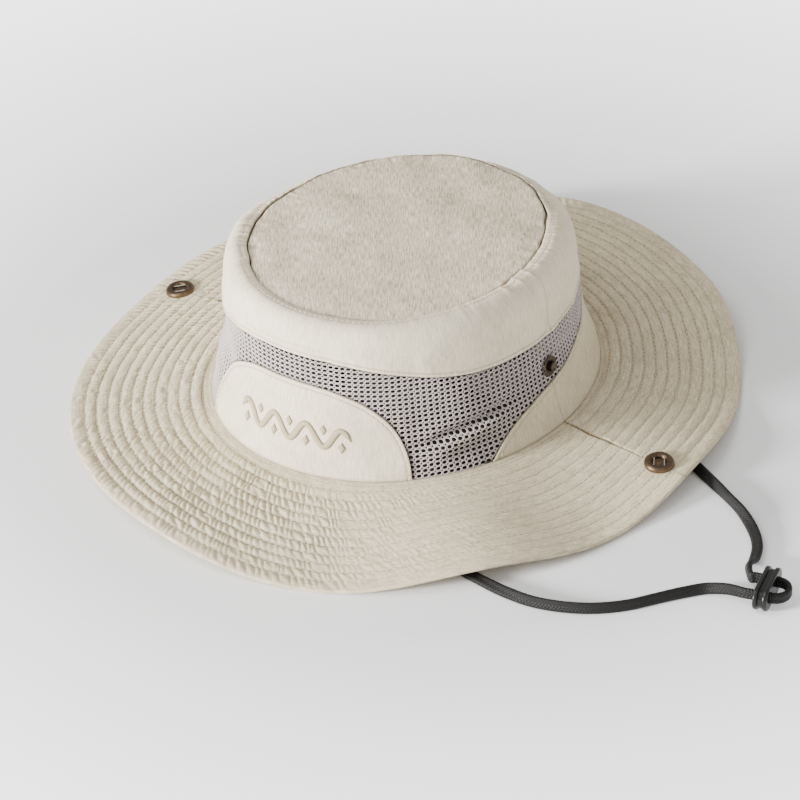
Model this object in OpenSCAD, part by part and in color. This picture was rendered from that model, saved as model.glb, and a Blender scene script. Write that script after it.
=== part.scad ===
// Boonie sun hat with a vented mesh crown, quilted brim, side snaps and chin cord.
// Millimetres. +Z up, the wearer's front is -Y, the wearer's left side is +X.
// Z = 0 is the surface that the brim stands on; X = Y = 0 is the middle of the brim.

/* [Crown] */
// Half width of the crown where it meets the brim
base_half_w = 91; // [86:1:96]
// Half length of the crown where it meets the brim
base_half_l = 104; // [99:1:109]
// Height of the crown's foot above the surface
base_z = 15; // [14:0.5:18]
// How much narrower the tip panel's half width is than the foot's
tip_in_w = 23; // [18:1:26]
// How much shorter the tip panel's half length is than the foot's
tip_in_l = 23; // [18:1:26]
// Height of the tip seam above the foot
crown_h = 76; // [70:1:84]
// How far the tip leans to the side
tip_shift_x = -2; // [-3:0.5:3]
// How far the tip leans to the front
tip_shift_y = -3; // [-4:0.5:4]
// Thickness of the twill cloth
cloth_t = 1; // [0.8:0.1:1.2]

/* [Crown panels] */
// Height of the upper band's lower edge at the front, above the foot
band_front = 60; // [56:1:62]
// Height of the upper band's lower edge at the sides and back, above the foot
band_side = 45.5; // [42:0.5:48]
// Half angle of the front emblem panel
panel_half = 39; // [33:3:42]
// Height of the front emblem panel
panel_h = 45; // [38:1:46]
// Angle from the front where the rear panel's foot starts
rear_start = 63; // [60:3:66]
// Height of the sweatband
sweat_h = 31; // [25:1:34]

/* [Brim] */
// Width of the brim, before its small changes around the hat
brim_w = 70.5; // [66:0.5:75]
// Thickness of the quilted brim
brim_t = 2.2; // [2:0.1:2.6]
// Distance from the middle of the hat to each fold line of the side flaps
fold_x = 105; // [102:1:108]
// Height of the fold axes
fold_z = 13.8; // [13.8:0.2:15]
// Where the snap lies across the brim, as a share of its width
snap_at = 0.78; // [0.72:0.01:0.82]

/* [Snaps] */
// Outer radius of the snap socket and of its cap
snap_r = 7.3; // [6.5:0.1:8]
// Radius of the stud's head
stud_r = 2.6; // [2.4:0.05:2.7]
// Height of the crown stud above the crown's foot
stud_h = 30; // [28:1:33]

/* [Chin cord] */
// Diameter of the braided chin cord
cord_d = 5.6; // [5:0.1:5.8]
// Length of the slider's plate
slider_l = 27; // [25:1:30]
// Height of the slider's plate
slider_w = 12; // [11:0.5:12.4]
// Thickness of the slider's plate
slider_t = 7; // [6:0.5:7]
// Distance between the slider's two holes
hole_gap = 13.2; // [13:0.2:14]

/* [Hidden] */
step = 3;                     // angle between two columns of a sewn panel
seam_r = 0;                   // side seam of the brim on the wearer's left
seam_l = 177;                 // side seam of the brim on the wearer's right
flap_a = 51;                  // half angle that a side flap covers
ply = 0.8;                    // each brim ply
gap = 0.05;                   // air between two plies
// Height of the brim's lower edge above the surface: angle, height
wave = [[-43, 8], [-19, 0.6], [5, 8], [32, 0.5], [60, 13.5], [90, 17], [127, 0], [155, 7],
        [190, 0.3], [255, 9], [291, 0], [317, 8], [341, 0.6], [365, 8]];
// Side view of the crown wall: share of the way up, share of the way in, height above the foot
wall = [[0, 0, 0], [0.3, 0.28, 23.8], [0.6, 0.40, 47.6], [0.8, 0.445, 63.4],
        [0.88, 0.50, 70], [0.94, 0.64, 75], [0.97, 0.80, 76.8], [1, 1, 76]];
// Slider: middle of its plate, and the direction of its holes towards the hat
sl_c = [235.5, -55.2, 6.2];
sl_n = [-0.9716, -0.2366, 0];
sl_t = [-0.2366, 0.9716, 0];
// Route of the cord from the anchor on the wearer's left to the slider
route_a = [[85.6, 0, 14.1], [80, 1, 12.8], [72, 3, 9], [62, 6, 4.6], [50, 9, 3], [36, 12, 2.9],
           [22, 15, 2.9], [8, 18, 2.9], [-5, 22, 2.9], [-14, 29, 2.9], [-17, 39, 2.9], [-13, 49, 2.9],
           [-3, 56, 2.9], [10, 58, 2.9], [24, 56, 2.9], [38, 53, 2.9], [52, 50, 2.9], [66, 47, 2.9],
           [80, 44, 2.9], [94, 41, 2.9], [108, 37, 2.9], [121, 33, 2.9], [134, 28, 2.9], [146, 23, 2.9],
           [157, 17, 2.9], [169, 10, 2.9], [181, 3, 2.9], [193, -4, 2.9], [204, -13, 2.9], [212, -23, 3],
           [216.5, -34, 3.4], [219, -43.5, 4.8], [224.6, -51.1, 6.2]];
// Route of the cord from the anchor on the wearer's right to the slider
route_b = [[-85.5, 5, 14.1], [-80, 5, 12.8], [-72, 5, 9], [-62, 4, 4.6], [-50, 1, 3], [-38, -6, 2.9],
           [-30, -17, 2.9], [-25, -30, 2.9], [-18, -42, 2.9], [-7, -50, 2.9], [6, -53, 2.9], [20, -52, 2.9],
           [34, -52, 2.9], [47, -56, 2.9], [59, -63, 2.9], [70, -72, 2.9], [79, -83, 2.9], [86, -95, 2.9],
           [94, -106, 2.9], [106, -113, 2.9], [120, -116, 2.9], [134, -118, 2.9], [148, -118, 2.9], [162, -114, 2.9],
           [175, -107, 2.9], [186, -97, 2.9], [194, -86, 2.9], [202, -75, 3], [210, -66, 3.6],
           [219.5, -64.2, 5.2], [227.7, -63.9, 6.2]];

// ---------- curves ----------
function unit(v) = v / norm(v);
function ring_n(t) = unit([cos(t) / base_half_w, sin(t) / base_half_l, 0]);
function ease(x) = (1 - cos(180 * x)) / 2;
function seg(tab, x, i = 0) = (i >= len(tab) - 2 || x < tab[i + 1][0]) ? i : seg(tab, x, i + 1);
function share(tab, x, i) = min(1, max(0, (x - tab[i][0]) / (tab[i + 1][0] - tab[i][0])));
// Angle brought into -19 to 341
function norm_a(t) = t > 341 ? norm_a(t - 360) : (t < -19 ? norm_a(t + 360) : t);
function lift(t) = let (a = norm_a(t), i = seg(wave, a), e = ease(share(wave, a, i)))
    wave[i][1] * (1 - e) + wave[i + 1][1] * e;
function wide(t) = brim_w - 1.8 * cos(2 * t);

// Point on the brim: angle, share of the width, height above its lower face
function brim_p(t, u, h) = let (w = wide(t), n = ring_n(t), z0 = base_z - brim_t, g = u < 0 ? 0 : 1 - pow(max(0, 1 - u), 1.5))
    [base_half_w * cos(t) + n.x * w * u, base_half_l * sin(t) + n.y * w * u, z0 + (lift(t) - z0) * g + (u < 0 ? 0.28 * w * u : 0) + h];
// Share of the width at which the brim crosses the line x = +-d
function cross_u(t, d) = (d - base_half_w * abs(cos(t))) / (abs(ring_n(t).x) * wide(t));

// Crown wall: in = share of the way in, up = height
function wall_at(v) = let (i = seg(wall, v), s = share(wall, v, i)) [for (k = [1, 2]) wall[i][k] * (1 - s) + wall[i + 1][k] * s];
function wall_r(v) = -tip_in_w * wall_at(v)[0];
function wall_n(v) = let (a = max(0, v - 0.02), b = min(1, v + 0.02)) unit([wall_at(b)[1] - wall_at(a)[1], wall_r(a) - wall_r(b)]);
function crown_p(t, v, off = 0) = let (w = wall_at(v), n = ring_n(t), q = wall_n(v), z = w[1] * crown_h / 76)
    [(base_half_w - tip_in_w * w[0]) * cos(t) + tip_shift_x * z / crown_h + off * q[0] * n.x,
     (base_half_l - tip_in_l * w[0]) * sin(t) + tip_shift_y * z / crown_h + off * q[0] * n.y,
     base_z + 0.05 + z + off * q[1]];
// Share of the way up at a height above the foot, below the shoulder
function v_at(h) = h / 79.3;
function away(t) = let (a = abs(((t - 270) % 360 + 540) % 360 - 180)) a;     // angle from the front
function band_low(t) = band_side + (band_front - band_side) * exp(-pow(away(t) / 44, 2.6));
function panel_top(t) = let (x = min(1, away(t) / panel_half)) max(0.6, panel_h * pow(1 - pow(x, 2.6), 0.44));
function rear_top(t) = let (a = away(t)) min(band_low(t) - 0.25,
    max(0.6, 24 * (1 - exp(-(a - rear_start) / 14)) + (a > 80 ? 14 * pow((a - 80) / 55, 2) : 0)));

// ---------- solids from two grids of points ----------
// a and b are [column][row] grids; a's outside is where column x row points
module grid_solid(a, b, closed = false) {
    ni = len(a); nj = len(a[0]); m = ni * nj;
    last = closed ? ni - 1 : ni - 2;
    pts = concat([for (c = a) each c], [for (c = b) each c]);
    function id(i, j) = (i % ni) * nj + j;
    tri = [for (i = [0:last], j = [0:nj - 2]) each
        let (p = id(i, j), q = id(i, j + 1), r = id(i + 1, j + 1), s = id(i + 1, j))
        [[p, q, r], [p, r, s], [m + p, m + r, m + q], [m + p, m + s, m + r]]];
    rims = [for (i = [0:last]) each
        let (p = id(i, 0), s = id(i + 1, 0), q = id(i, nj - 1), r = id(i + 1, nj - 1))
        [[p, s, m + s], [p, m + s, m + p], [q, m + q, m + r], [q, m + r, r]]];
    ends = closed ? [] : [for (j = [0:nj - 2]) each
        let (p = id(0, j), q = id(0, j + 1), r = id(ni - 1, j), s = id(ni - 1, j + 1))
        [[p, m + p, m + q], [p, m + q, q], [r, s, m + s], [r, m + s, m + r]]];
    polyhedron(points = pts, faces = concat(tri, rims, ends), convexity = 8);
}
// Columns from t0 to t1, at whole steps between them
function cols(t0, t1) = concat([t0], [for (k = [floor(t0 / step) + 1 : ceil(t1 / step) - 1]) k * step], [t1]);
function full(s = step) = [for (k = [0 : 360 / s - 1]) k * s];

// Sewn crown panel between two heights
module crown_patch(ts, v0, v1, rows, outer, inner, closed = false)
    grid_solid([for (i = [0:len(ts) - 1]) [for (j = [0:rows]) crown_p(ts[i], v0[i] + (v1[i] - v0[i]) * j / rows, outer)]],
               [for (i = [0:len(ts) - 1]) [for (j = [0:rows]) crown_p(ts[i], v0[i] + (v1[i] - v0[i]) * j / rows, inner)]], closed);

// One ply of the brim: columns, first and last share of the width, heights of its faces; lip = its width inside the crown's foot
module brim_patch(ts, u0, u1, rows, h0, h1, closed = false, lip = 0) {
    us = [for (i = [0:len(ts) - 1]) concat(lip > 0 ? [-lip / wide(ts[i])] : [], [for (j = [0:rows]) u0[i] + (u1[i] - u0[i]) * j / rows])];
    grid_solid([for (i = [0:len(ts) - 1]) [for (u = us[i]) brim_p(ts[i], u, h0)]],
               [for (i = [0:len(ts) - 1]) [for (u = us[i]) brim_p(ts[i], u, h1)]], closed);
}

// ---------- crown ----------
module crown_top() {
    rs = [0.985, 0.8, 0.55, 0.3, 0.12];
    ts = full();
    function tip(t, r, dz) = [(base_half_w - tip_in_w) * r * cos(t) + tip_shift_x, (base_half_l - tip_in_l) * r * sin(t) + tip_shift_y,
        base_z + crown_h - 0.9 + 1.6 * (1 - r * r) + dz];
    n = len(ts); k = len(rs); m = n * k;
    function id(i, j) = (i % n) * k + j;
    pts = concat([for (t = ts) for (r = rs) tip(t, r, 0)], [for (t = ts) for (r = rs) tip(t, r, -cloth_t)]);
    tri = [for (i = [0:n - 1], j = [0:k - 2]) each let (p = id(i, j), q = id(i, j + 1), r = id(i + 1, j + 1), s = id(i + 1, j))
        [[p, q, r], [p, r, s], [m + p, m + r, m + q], [m + p, m + s, m + r]]];
    rim = [for (i = [0:n - 1]) each let (p = id(i, 0), s = id(i + 1, 0)) [[p, s, m + s], [p, m + s, m + p]]];
    color([0.80, 0.78, 0.72]) polyhedron(points = pts, faces = concat(tri, rim, [[for (i = [n - 1:-1:0]) id(i, k - 1)], [for (i = [0:n - 1]) m + id(i, k - 1)]]), convexity = 4);
}

function band_rows(t) = let (a = v_at(band_low(t))) concat([for (j = [0:2]) a + (0.8 - a) * j / 3], [0.8, 0.88, 0.94, 0.97, 1]);
module upper_side_band() {
    ts = full();
    color([0.90, 0.87, 0.80]) grid_solid([for (t = ts) [for (v = band_rows(t)) crown_p(t, v, 0)]], [for (t = ts) [for (v = band_rows(t)) crown_p(t, v, -cloth_t)]], true);
}

module mesh_cloth() {
    ts = [for (k = [-48 : 48]) 270 + 3 * k];
    lo = [for (t = ts) let (a = away(t)) v_at(a <= panel_half ? panel_top(t) + 0.3 : (a >= rear_start ? rear_top(t) + 0.3 : 0))];
    hi = [for (t = ts) v_at(band_low(t) - 0.25)];
    crown_patch(ts, lo, hi, 4, -0.1, -cloth_t);
}
module mesh_band() color([0.72, 0.69, 0.69]) difference() {
    mesh_cloth();
    on_wall(seam_r) cylinder(h = 8, r = 1.9, center = true, $fn = 32);
    on_wall(seam_l) cylinder(h = 8, r = 1.9, center = true, $fn = 32);
}

module front_panel() {
    ts = [for (k = [-panel_half / 3 : panel_half / 3]) 270 + 3 * k];
    color([0.90, 0.88, 0.81]) crown_patch(ts, [for (t = ts) 0], [for (t = ts) v_at(panel_top(t))], 4, 0, -cloth_t);
}

module rear_panel() {
    ts = [for (k = [0 : (360 - 2 * rear_start) / 3]) 270 + rear_start + 3 * k];
    color([0.84, 0.81, 0.73]) crown_patch(ts, [for (t = ts) 0], [for (t = ts) v_at(rear_top(t))], 4, 0, -cloth_t);
}

// Flat tape under the seam between the tip panel and the side band
module tip_seam_tape() {
    ts = full(6);
    function p(t, r, z) = [(base_half_w - tip_in_w) * r * cos(t) + tip_shift_x, (base_half_l - tip_in_l) * r * sin(t) + tip_shift_y, z];
    z = base_z + crown_h - 2.7;
    color([0.82, 0.80, 0.74]) grid_solid([for (t = ts) [p(t, 1.06, z), p(t, 0.93, z)]], [for (t = ts) [p(t, 1.06, z - 0.6), p(t, 0.93, z - 0.6)]], true);
}

// Tape that binds the crown, brim and sweatband seam on the inside
module base_seam_tape() {
    ts = full(6);
    function p(t, o, z) = let (n = ring_n(t)) [base_half_w * cos(t) - n.x * o, base_half_l * sin(t) - n.y * o, z];
    color([0.82, 0.80, 0.74]) grid_solid([for (t = ts) [p(t, 4, base_z - 3.6), p(t, 4, base_z + 2)]], [for (t = ts) [p(t, 4.8, base_z - 3.6), p(t, 4.8, base_z + 2)]], true);
}

module sweatband() {
    ts = full();
    vs = concat([v_at(0.3), 0.15], v_at(sweat_h) > 0.31 ? [0.3] : [], [v_at(sweat_h)]);
    color([0.27, 0.27, 0.27]) grid_solid([for (t = ts) [for (v = vs) crown_p(t, v, -cloth_t - 0.55)]], [for (t = ts) [for (v = vs) crown_p(t, v, -cloth_t - 1.5)]], true);
}

// ---------- brim ----------
function near_side(t) = min(away(t + 90), away(t - 90));          // angle from the nearer side of the hat
function root_u(t) = near_side(t) <= flap_a ? min(1, cross_u(t, fold_x - 0.25)) : 1;
module brim_half(t0, t1, h0, h1, lip) {
    ts = cols(t0, t1);
    brim_patch(ts, [for (t = ts) 0], [for (t = ts) root_u(t)], 4, h0, h1, false, lip);
}
module brim_top_front() color([0.85, 0.82, 0.74]) brim_half(seam_l + 0.1, 359.9 + seam_r, ply + 0.6, brim_t, 2.6);
module brim_top_back() color([0.84, 0.81, 0.73]) brim_half(seam_r + 0.1, seam_l - 0.1, ply + 0.6, brim_t, 2.6);
module brim_under_front() color([0.83, 0.80, 0.72]) brim_half(seam_l + 0.1, 359.9 + seam_r, 0, ply, 2.6);
module brim_under_back() color([0.83, 0.80, 0.72]) brim_half(seam_r + 0.1, seam_l - 0.1, 0, ply, 2.6);
module brim_interlining() {
    ts = concat(cols(seam_r + 0.1, seam_l - 0.1), cols(seam_l + 0.1, 359.9 + seam_r));
    color([0.93, 0.93, 0.91]) brim_patch(ts, [for (t = ts) 0], [for (t = ts) root_u(t)], 4, ply + gap, ply + 0.6 - gap, true, 2.6);
}

// Part of a side flap with these columns; m = the seam angle that holds the snap
module flap_ply(ts, h0, h1, m) difference() {
    brim_patch(ts, [for (t = ts) min(0.997, cross_u(t, fold_x + 0.25))], [for (t = ts) 1], 4, h0, h1);
    on_brim(m) cylinder(h = 8, r = 1.9, center = true, $fn = 32);
}
module flap_part(t0, t1, h0, h1, m) flap_ply(cols(t0, t1), h0, h1, m);
module left_flap_top_front() color([0.85, 0.82, 0.74]) flap_part(360 + seam_r - flap_a, 359.9 + seam_r, ply + 0.6, brim_t, seam_r);
module left_flap_top_back() color([0.84, 0.81, 0.73]) flap_part(seam_r + 0.1, flap_a, ply + 0.6, brim_t, seam_r);
module left_flap_under_front() color([0.83, 0.80, 0.72]) flap_part(360 + seam_r - flap_a, 359.9 + seam_r, 0, ply, seam_r);
module left_flap_under_back() color([0.83, 0.80, 0.72]) flap_part(seam_r + 0.1, flap_a, 0, ply, seam_r);
module left_flap_interlining() color([0.93, 0.93, 0.91]) flap_ply(concat(cols(seam_r - flap_a, seam_r - 0.1), cols(seam_r + 0.1, seam_r + flap_a)), ply + gap, ply + 0.6 - gap, seam_r);
module right_flap_top_front() color([0.85, 0.82, 0.74]) flap_part(seam_l + 0.1, 180 + flap_a, ply + 0.6, brim_t, seam_l);
module right_flap_top_back() color([0.84, 0.81, 0.73]) flap_part(180 - flap_a, seam_l - 0.1, ply + 0.6, brim_t, seam_l);
module right_flap_under_front() color([0.83, 0.80, 0.72]) flap_part(seam_l + 0.1, 180 + flap_a, 0, ply, seam_l);
module right_flap_under_back() color([0.83, 0.80, 0.72]) flap_part(180 - flap_a, seam_l - 0.1, 0, ply, seam_l);
module right_flap_interlining() color([0.93, 0.93, 0.91]) flap_ply(concat(cols(180 - flap_a, seam_l - 0.1), cols(seam_l + 0.1, 180 + flap_a)), ply + gap, ply + 0.6 - gap, seam_l);

// ---------- snaps ----------
// Puts z = 0 on the brim's upper face at the snap, with +Z out of the cloth
module on_brim(t) {
    p = brim_p(t, snap_at, brim_t);
    du = brim_p(t, snap_at + 0.05, brim_t) - brim_p(t, snap_at - 0.05, brim_t);
    dt = brim_p(t + 2, snap_at, brim_t) - brim_p(t - 2, snap_at, brim_t);
    n = unit(cross(du, dt));
    translate(p) rotate([0, acos(n.z), atan2(n.y, n.x)]) children();
}
// Puts z = 0 on the crown's outer face at the stud, with +Z out of the cloth
module on_wall(t) {
    v = v_at(stud_h);
    n0 = ring_n(t); q = wall_n(v);
    n = unit([n0.x * q[0], n0.y * q[0], q[1]]);
    translate(crown_p(t, v, 0)) rotate([0, acos(n.z), atan2(n.y, n.x)]) children();
}
module socket() color([0.36, 0.29, 0.20]) translate([0, 0, 0.35]) rotate_extrude($fn = 64)
    polygon(concat([[1.75, 0], [snap_r, 0], [snap_r, 0.7]],
        [for (k = [1:7]) let (a = k * 180 / 8) [(snap_r + 3.5) / 2 + (snap_r - 3.5) / 2 * cos(a), 0.7 + 1.5 * sin(a)]],
        [[3.5, 0.7], [1.75, 0.7]]));
// Two wires that grip the stud, held in the socket's ring
module socket_spring() color([0.55, 0.50, 0.42]) translate([0, 0, 1.55])
    for (s = [-1, 1]) translate([0, s * 2.5, 0]) rotate([0, 90, 0]) cylinder(h = 7.6, r = 0.3, center = true, $fn = 16);
// Cap on the lower face, with the post that is peened over inside the socket
module cap() color([0.36, 0.29, 0.20]) translate([0, 0, -brim_t]) rotate_extrude($fn = 64)
    polygon([[0, -1.7], [snap_r - 2.5, -1.7], [snap_r - 1, -1.4], [snap_r - 0.1, -0.8], [snap_r - 0.1, -0.4], [1.6, -0.4],
        [1.6, brim_t + 1.1], [1.1, brim_t + 1.3], [0, brim_t + 1.3]]);
module stud() color([0.30, 0.25, 0.18]) translate([0, 0, 0.3]) rotate_extrude($fn = 64)
    polygon([[1.7, 0], [5.2, 0], [5.2, 0.5], [4.8, 0.9], [stud_r, 0.9], [stud_r, 2.6], [stud_r - 0.5, 3.1], [stud_r - 1.3, 3.35], [0, 3.4], [0, 1.2], [1.7, 1.2]]);
module stud_post() color([0.36, 0.29, 0.20]) rotate_extrude($fn = 64)
    polygon([[0, 1.3], [1.6, 1.3], [1.6, -cloth_t - 0.17], [4.6, -cloth_t - 0.17], [4.6, -cloth_t - 0.4], [0, -cloth_t - 0.4]]);
module left_snap_socket() on_brim(seam_r) socket();
module left_snap_spring() on_brim(seam_r) socket_spring();
module left_snap_cap() on_brim(seam_r) cap();
module right_snap_socket() on_brim(seam_l) socket();
module right_snap_spring() on_brim(seam_l) socket_spring();
module right_snap_cap() on_brim(seam_l) cap();
module left_crown_stud() on_wall(seam_r) stud();
module left_stud_post() on_wall(seam_r) stud_post();
module right_crown_stud() on_wall(seam_l) stud();
module right_stud_post() on_wall(seam_l) stud_post();

// ---------- chin cord ----------
// Round tube along a route of points
module tube(pts, d, sides = 10) {
    n = len(pts);
    function dir(i) = unit(pts[min(n - 1, i + 1)] - pts[max(0, i - 1)]);
    rings = [for (i = [0:n - 1]) let (w = dir(i), s = unit(cross([0, 0, 1], w)), u = cross(w, s))
        [for (k = [0:sides - 1]) pts[i] + d / 2 * (cos(k * 360 / sides) * s + sin(k * 360 / sides) * u)]];
    faces = [for (i = [0:n - 2], k = [0:sides - 1]) each
        let (a = i * sides + k, b = i * sides + (k + 1) % sides, c = a + sides, e = b + sides) [[a, c, e], [a, e, b]]];
    polyhedron(points = [for (r = rings) each r],
        faces = concat(faces, [[for (k = [0:sides - 1]) k]], [[for (k = [sides - 1:-1:0]) (n - 1) * sides + k]]), convexity = 6);
}
hole_a = sl_c + sl_t * hole_gap / 2;
hole_b = sl_c - sl_t * hole_gap / 2;
module chin_cord_left() color([0.13, 0.13, 0.13]) tube(concat(route_a, [hole_a + sl_n * 5.2, hole_a]), cord_d);
module chin_cord_right() color([0.13, 0.13, 0.13]) tube(concat(route_b, [hole_b + sl_n * 5.2, hole_b]), cord_d);
module cord_end_loop() color([0.13, 0.13, 0.13]) tube(concat(
    [hole_a - sl_n * 0.02], [for (k = [0:8]) let (a = 90 - k * 22.5) sl_c - sl_n * (slider_t / 2 + 0.3 + hole_gap / 2 * cos(a)) + sl_t * hole_gap / 2 * sin(a)],
    [hole_b - sl_n * 0.02]), cord_d);

module cord_slider() color([0.07, 0.07, 0.08])
    translate(sl_c) rotate([0, 0, atan2(sl_n.y, sl_n.x)]) rotate([0, 90, 0]) difference() {
        union() {
            for (z = [-slider_t / 2, slider_t / 2 - 2.2]) translate([0, 0, z]) stadium(slider_w, 2.2);
            translate([0, 0, -slider_t / 2 + 1]) stadium(slider_w - 2, slider_t - 2);
        }
        for (s = [-1, 1]) translate([0, s * hole_gap / 2, 0]) cylinder(h = slider_t + 2, r = cord_d / 2 + 0.25, center = true, $fn = 48);
    }
// Plate with round ends, as wide as w and w - slider_w + slider_l long
module stadium(w, h) {
    l = slider_l - slider_w;
    translate([-w / 2, -l / 2, 0]) cube([w, l, h]);
    for (s = [-1, 1]) translate([0, s * l / 2, 0]) cylinder(h = h, d = w, $fn = 64);
}

crown_top();
upper_side_band();
mesh_band();
front_panel();
rear_panel();
tip_seam_tape();
base_seam_tape();
sweatband();
brim_top_front();
brim_top_back();
brim_under_front();
brim_under_back();
brim_interlining();
left_flap_top_front();
left_flap_top_back();
left_flap_under_front();
left_flap_under_back();
left_flap_interlining();
right_flap_top_front();
right_flap_top_back();
right_flap_under_front();
right_flap_under_back();
right_flap_interlining();
left_snap_socket();
left_snap_spring();
left_snap_cap();
right_snap_socket();
right_snap_spring();
right_snap_cap();
left_crown_stud();
left_stud_post();
right_crown_stud();
right_stud_post();
chin_cord_left();
chin_cord_right();
cord_end_loop();
cord_slider();
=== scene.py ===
import math

import bpy
import numpy as np
from mathutils import Matrix, Vector


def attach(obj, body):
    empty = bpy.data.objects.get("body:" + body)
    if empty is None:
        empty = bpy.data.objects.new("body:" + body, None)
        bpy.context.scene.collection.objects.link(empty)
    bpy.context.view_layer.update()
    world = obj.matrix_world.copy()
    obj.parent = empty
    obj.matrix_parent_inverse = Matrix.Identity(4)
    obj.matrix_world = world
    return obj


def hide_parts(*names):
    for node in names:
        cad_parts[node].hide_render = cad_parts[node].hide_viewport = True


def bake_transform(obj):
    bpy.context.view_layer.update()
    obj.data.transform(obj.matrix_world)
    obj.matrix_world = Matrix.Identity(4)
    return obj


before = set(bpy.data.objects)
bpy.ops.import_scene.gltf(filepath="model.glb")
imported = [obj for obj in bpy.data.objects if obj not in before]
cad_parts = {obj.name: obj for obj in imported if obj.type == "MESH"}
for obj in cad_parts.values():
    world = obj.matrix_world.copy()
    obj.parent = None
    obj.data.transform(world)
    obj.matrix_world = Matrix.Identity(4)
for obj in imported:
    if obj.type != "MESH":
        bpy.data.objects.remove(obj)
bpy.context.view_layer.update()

SC = bpy.context.scene
MM = 0.001

# ------------------------------------------------------------------ camera
CAM = np.array([1.0072, -1.4769, 1.1737])
FWD = np.array([-0.4718, 0.6888, -0.5505])
UP = np.array([-0.2980, 0.4630, 0.8347])
FWD = FWD / np.linalg.norm(FWD)
RIGHT = np.cross(FWD, UP); RIGHT /= np.linalg.norm(RIGHT)
UP = np.cross(RIGHT, FWD)
cam_data = bpy.data.cameras.new("camera")
cam = bpy.data.objects.new("camera", cam_data)
SC.collection.objects.link(cam)
cam_data.sensor_width = 36.0
cam_data.lens = 4335.0 * 36.0 / 800.0
cam_data.clip_start, cam_data.clip_end = 0.05, 30.0
cam.matrix_world = Matrix([[RIGHT[0], UP[0], -FWD[0], CAM[0]], [RIGHT[1], UP[1], -FWD[1], CAM[1]],
                           [RIGHT[2], UP[2], -FWD[2], CAM[2]], [0, 0, 0, 1]])
SC.camera = cam


# ------------------------------------------------------------------ numbers
def hash2(i, j, seed):
    n = (i.astype(np.int64) * 374761393 + j.astype(np.int64) * 668265263 + seed * 982451653) & 0xFFFFFFFF
    n = ((n ^ (n >> 13)) * 1274126177) & 0xFFFFFFFF
    n = ((n ^ (n >> 15)) * 2246822519) & 0xFFFFFFFF
    return ((n ^ (n >> 16)) & 0xFFFF) / 32767.5 - 1.0


def noise(x, y, seed=0, wrap=0):
    """Smooth value noise from -1 to 1; wrap makes it repeat along x."""
    x, y = np.broadcast_arrays(np.asarray(x, float), np.asarray(y, float))
    i, j = np.floor(x), np.floor(y)
    fx, fy = x - i, y - j
    fx, fy = fx * fx * (3 - 2 * fx), fy * fy * (3 - 2 * fy)
    i0, j0 = i.astype(np.int64), j.astype(np.int64)
    i1, j1 = i0 + 1, j0 + 1
    if wrap:
        i0, i1 = i0 % wrap, i1 % wrap
    a, b = hash2(i0, j0, seed), hash2(i1, j0, seed)
    c, d = hash2(i0, j1, seed), hash2(i1, j1, seed)
    return (a * (1 - fx) + b * fx) * (1 - fy) + (c * (1 - fx) + d * fx) * fy


def smooth(a, b, x):
    t = np.clip((x - a) / (b - a), 0, 1)
    return t * t * (3 - 2 * t)


def bell(x, w):
    return np.exp(-(x / w) ** 2)


def turn(a, b):
    """Signed angle from b to a, from -180 to 180 degrees."""
    return (a - b + 180) % 360 - 180


def table_smooth(xs, ys, x, period=None):
    """Cosine-eased table lookup."""
    xs, ys = np.asarray(xs, float), np.asarray(ys, float)
    if period:
        x = (x - xs[0]) % period + xs[0]
    k = np.clip(np.searchsorted(xs, x, side="right") - 1, 0, len(xs) - 2)
    f = np.clip((x - xs[k]) / (xs[k + 1] - xs[k]), 0, 1)
    f = (1 - np.cos(np.pi * f)) / 2
    return ys[k] * (1 - f) + ys[k + 1] * f


def pchip(xs, ys, x):
    xs, ys = np.asarray(xs, float), np.asarray(ys, float)
    h = np.diff(xs); d = np.diff(ys) / h
    m = np.zeros(len(xs))
    for i in range(1, len(xs) - 1):
        if d[i - 1] * d[i] > 0:
            w1, w2 = 2 * h[i] + h[i - 1], h[i] + 2 * h[i - 1]
            m[i] = (w1 + w2) / (w1 / d[i - 1] + w2 / d[i])
    m[0], m[-1] = d[0], d[-1]
    k = np.clip(np.searchsorted(xs, x, side="right") - 1, 0, len(xs) - 2)
    t = (x - xs[k]) / h[k]
    a = 2 * t ** 3 - 3 * t ** 2 + 1; b = t ** 3 - 2 * t ** 2 + t
    c = -2 * t ** 3 + 3 * t ** 2; e = t ** 3 - t ** 2
    return a * ys[k] + b * h[k] * m[k] + c * ys[k + 1] + e * h[k] * m[k + 1]


def spline(points, step):
    """Even points along a smooth curve through the given ones."""
    p = np.asarray(points, float)
    q = np.vstack([2 * p[0] - p[1], p, 2 * p[-1] - p[-2]])
    out = []
    for i in range(1, len(q) - 2):
        a, b, c, d = q[i - 1], q[i], q[i + 1], q[i + 2]
        for t in np.linspace(0, 1, 24, endpoint=False):
            out.append(0.5 * (2 * b + (c - a) * t + (2 * a - 5 * b + 4 * c - d) * t * t + (3 * b - a - 3 * c + d) * t ** 3))
    out.append(p[-1]); out = np.array(out)
    s = np.concatenate([[0], np.cumsum(np.linalg.norm(np.diff(out, axis=0), axis=1))])
    n = max(2, int(round(s[-1] / step)))
    g = np.linspace(0, s[-1], n + 1)
    return np.column_stack([np.interp(g, s, out[:, k]) for k in range(3)]), g


# ------------------------------------------------------------------ the hat's form (millimetres, degrees)
BW, BL, BZ = 91.0, 104.0, 15.0
TIN, CH = 23.0, 76.0
WALL_V = [0, 0.3, 0.6, 0.8, 0.88, 0.94, 0.97, 1]
WALL_IN = [0, 0.28, 0.40, 0.445, 0.50, 0.64, 0.80, 1]
WALL_Z = [0, 23.8, 47.6, 63.4, 70, 75, 76.6, 76]
SEAM_L, SEAM_R = 0.0, 177.0          # side seams: wearer's left, wearer's right
EDGE, PITCH, ROWS = 7.5, 5.8, 11     # stitch rows of the brim, from its edge


def rad(t):
    return np.radians(t)


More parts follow.
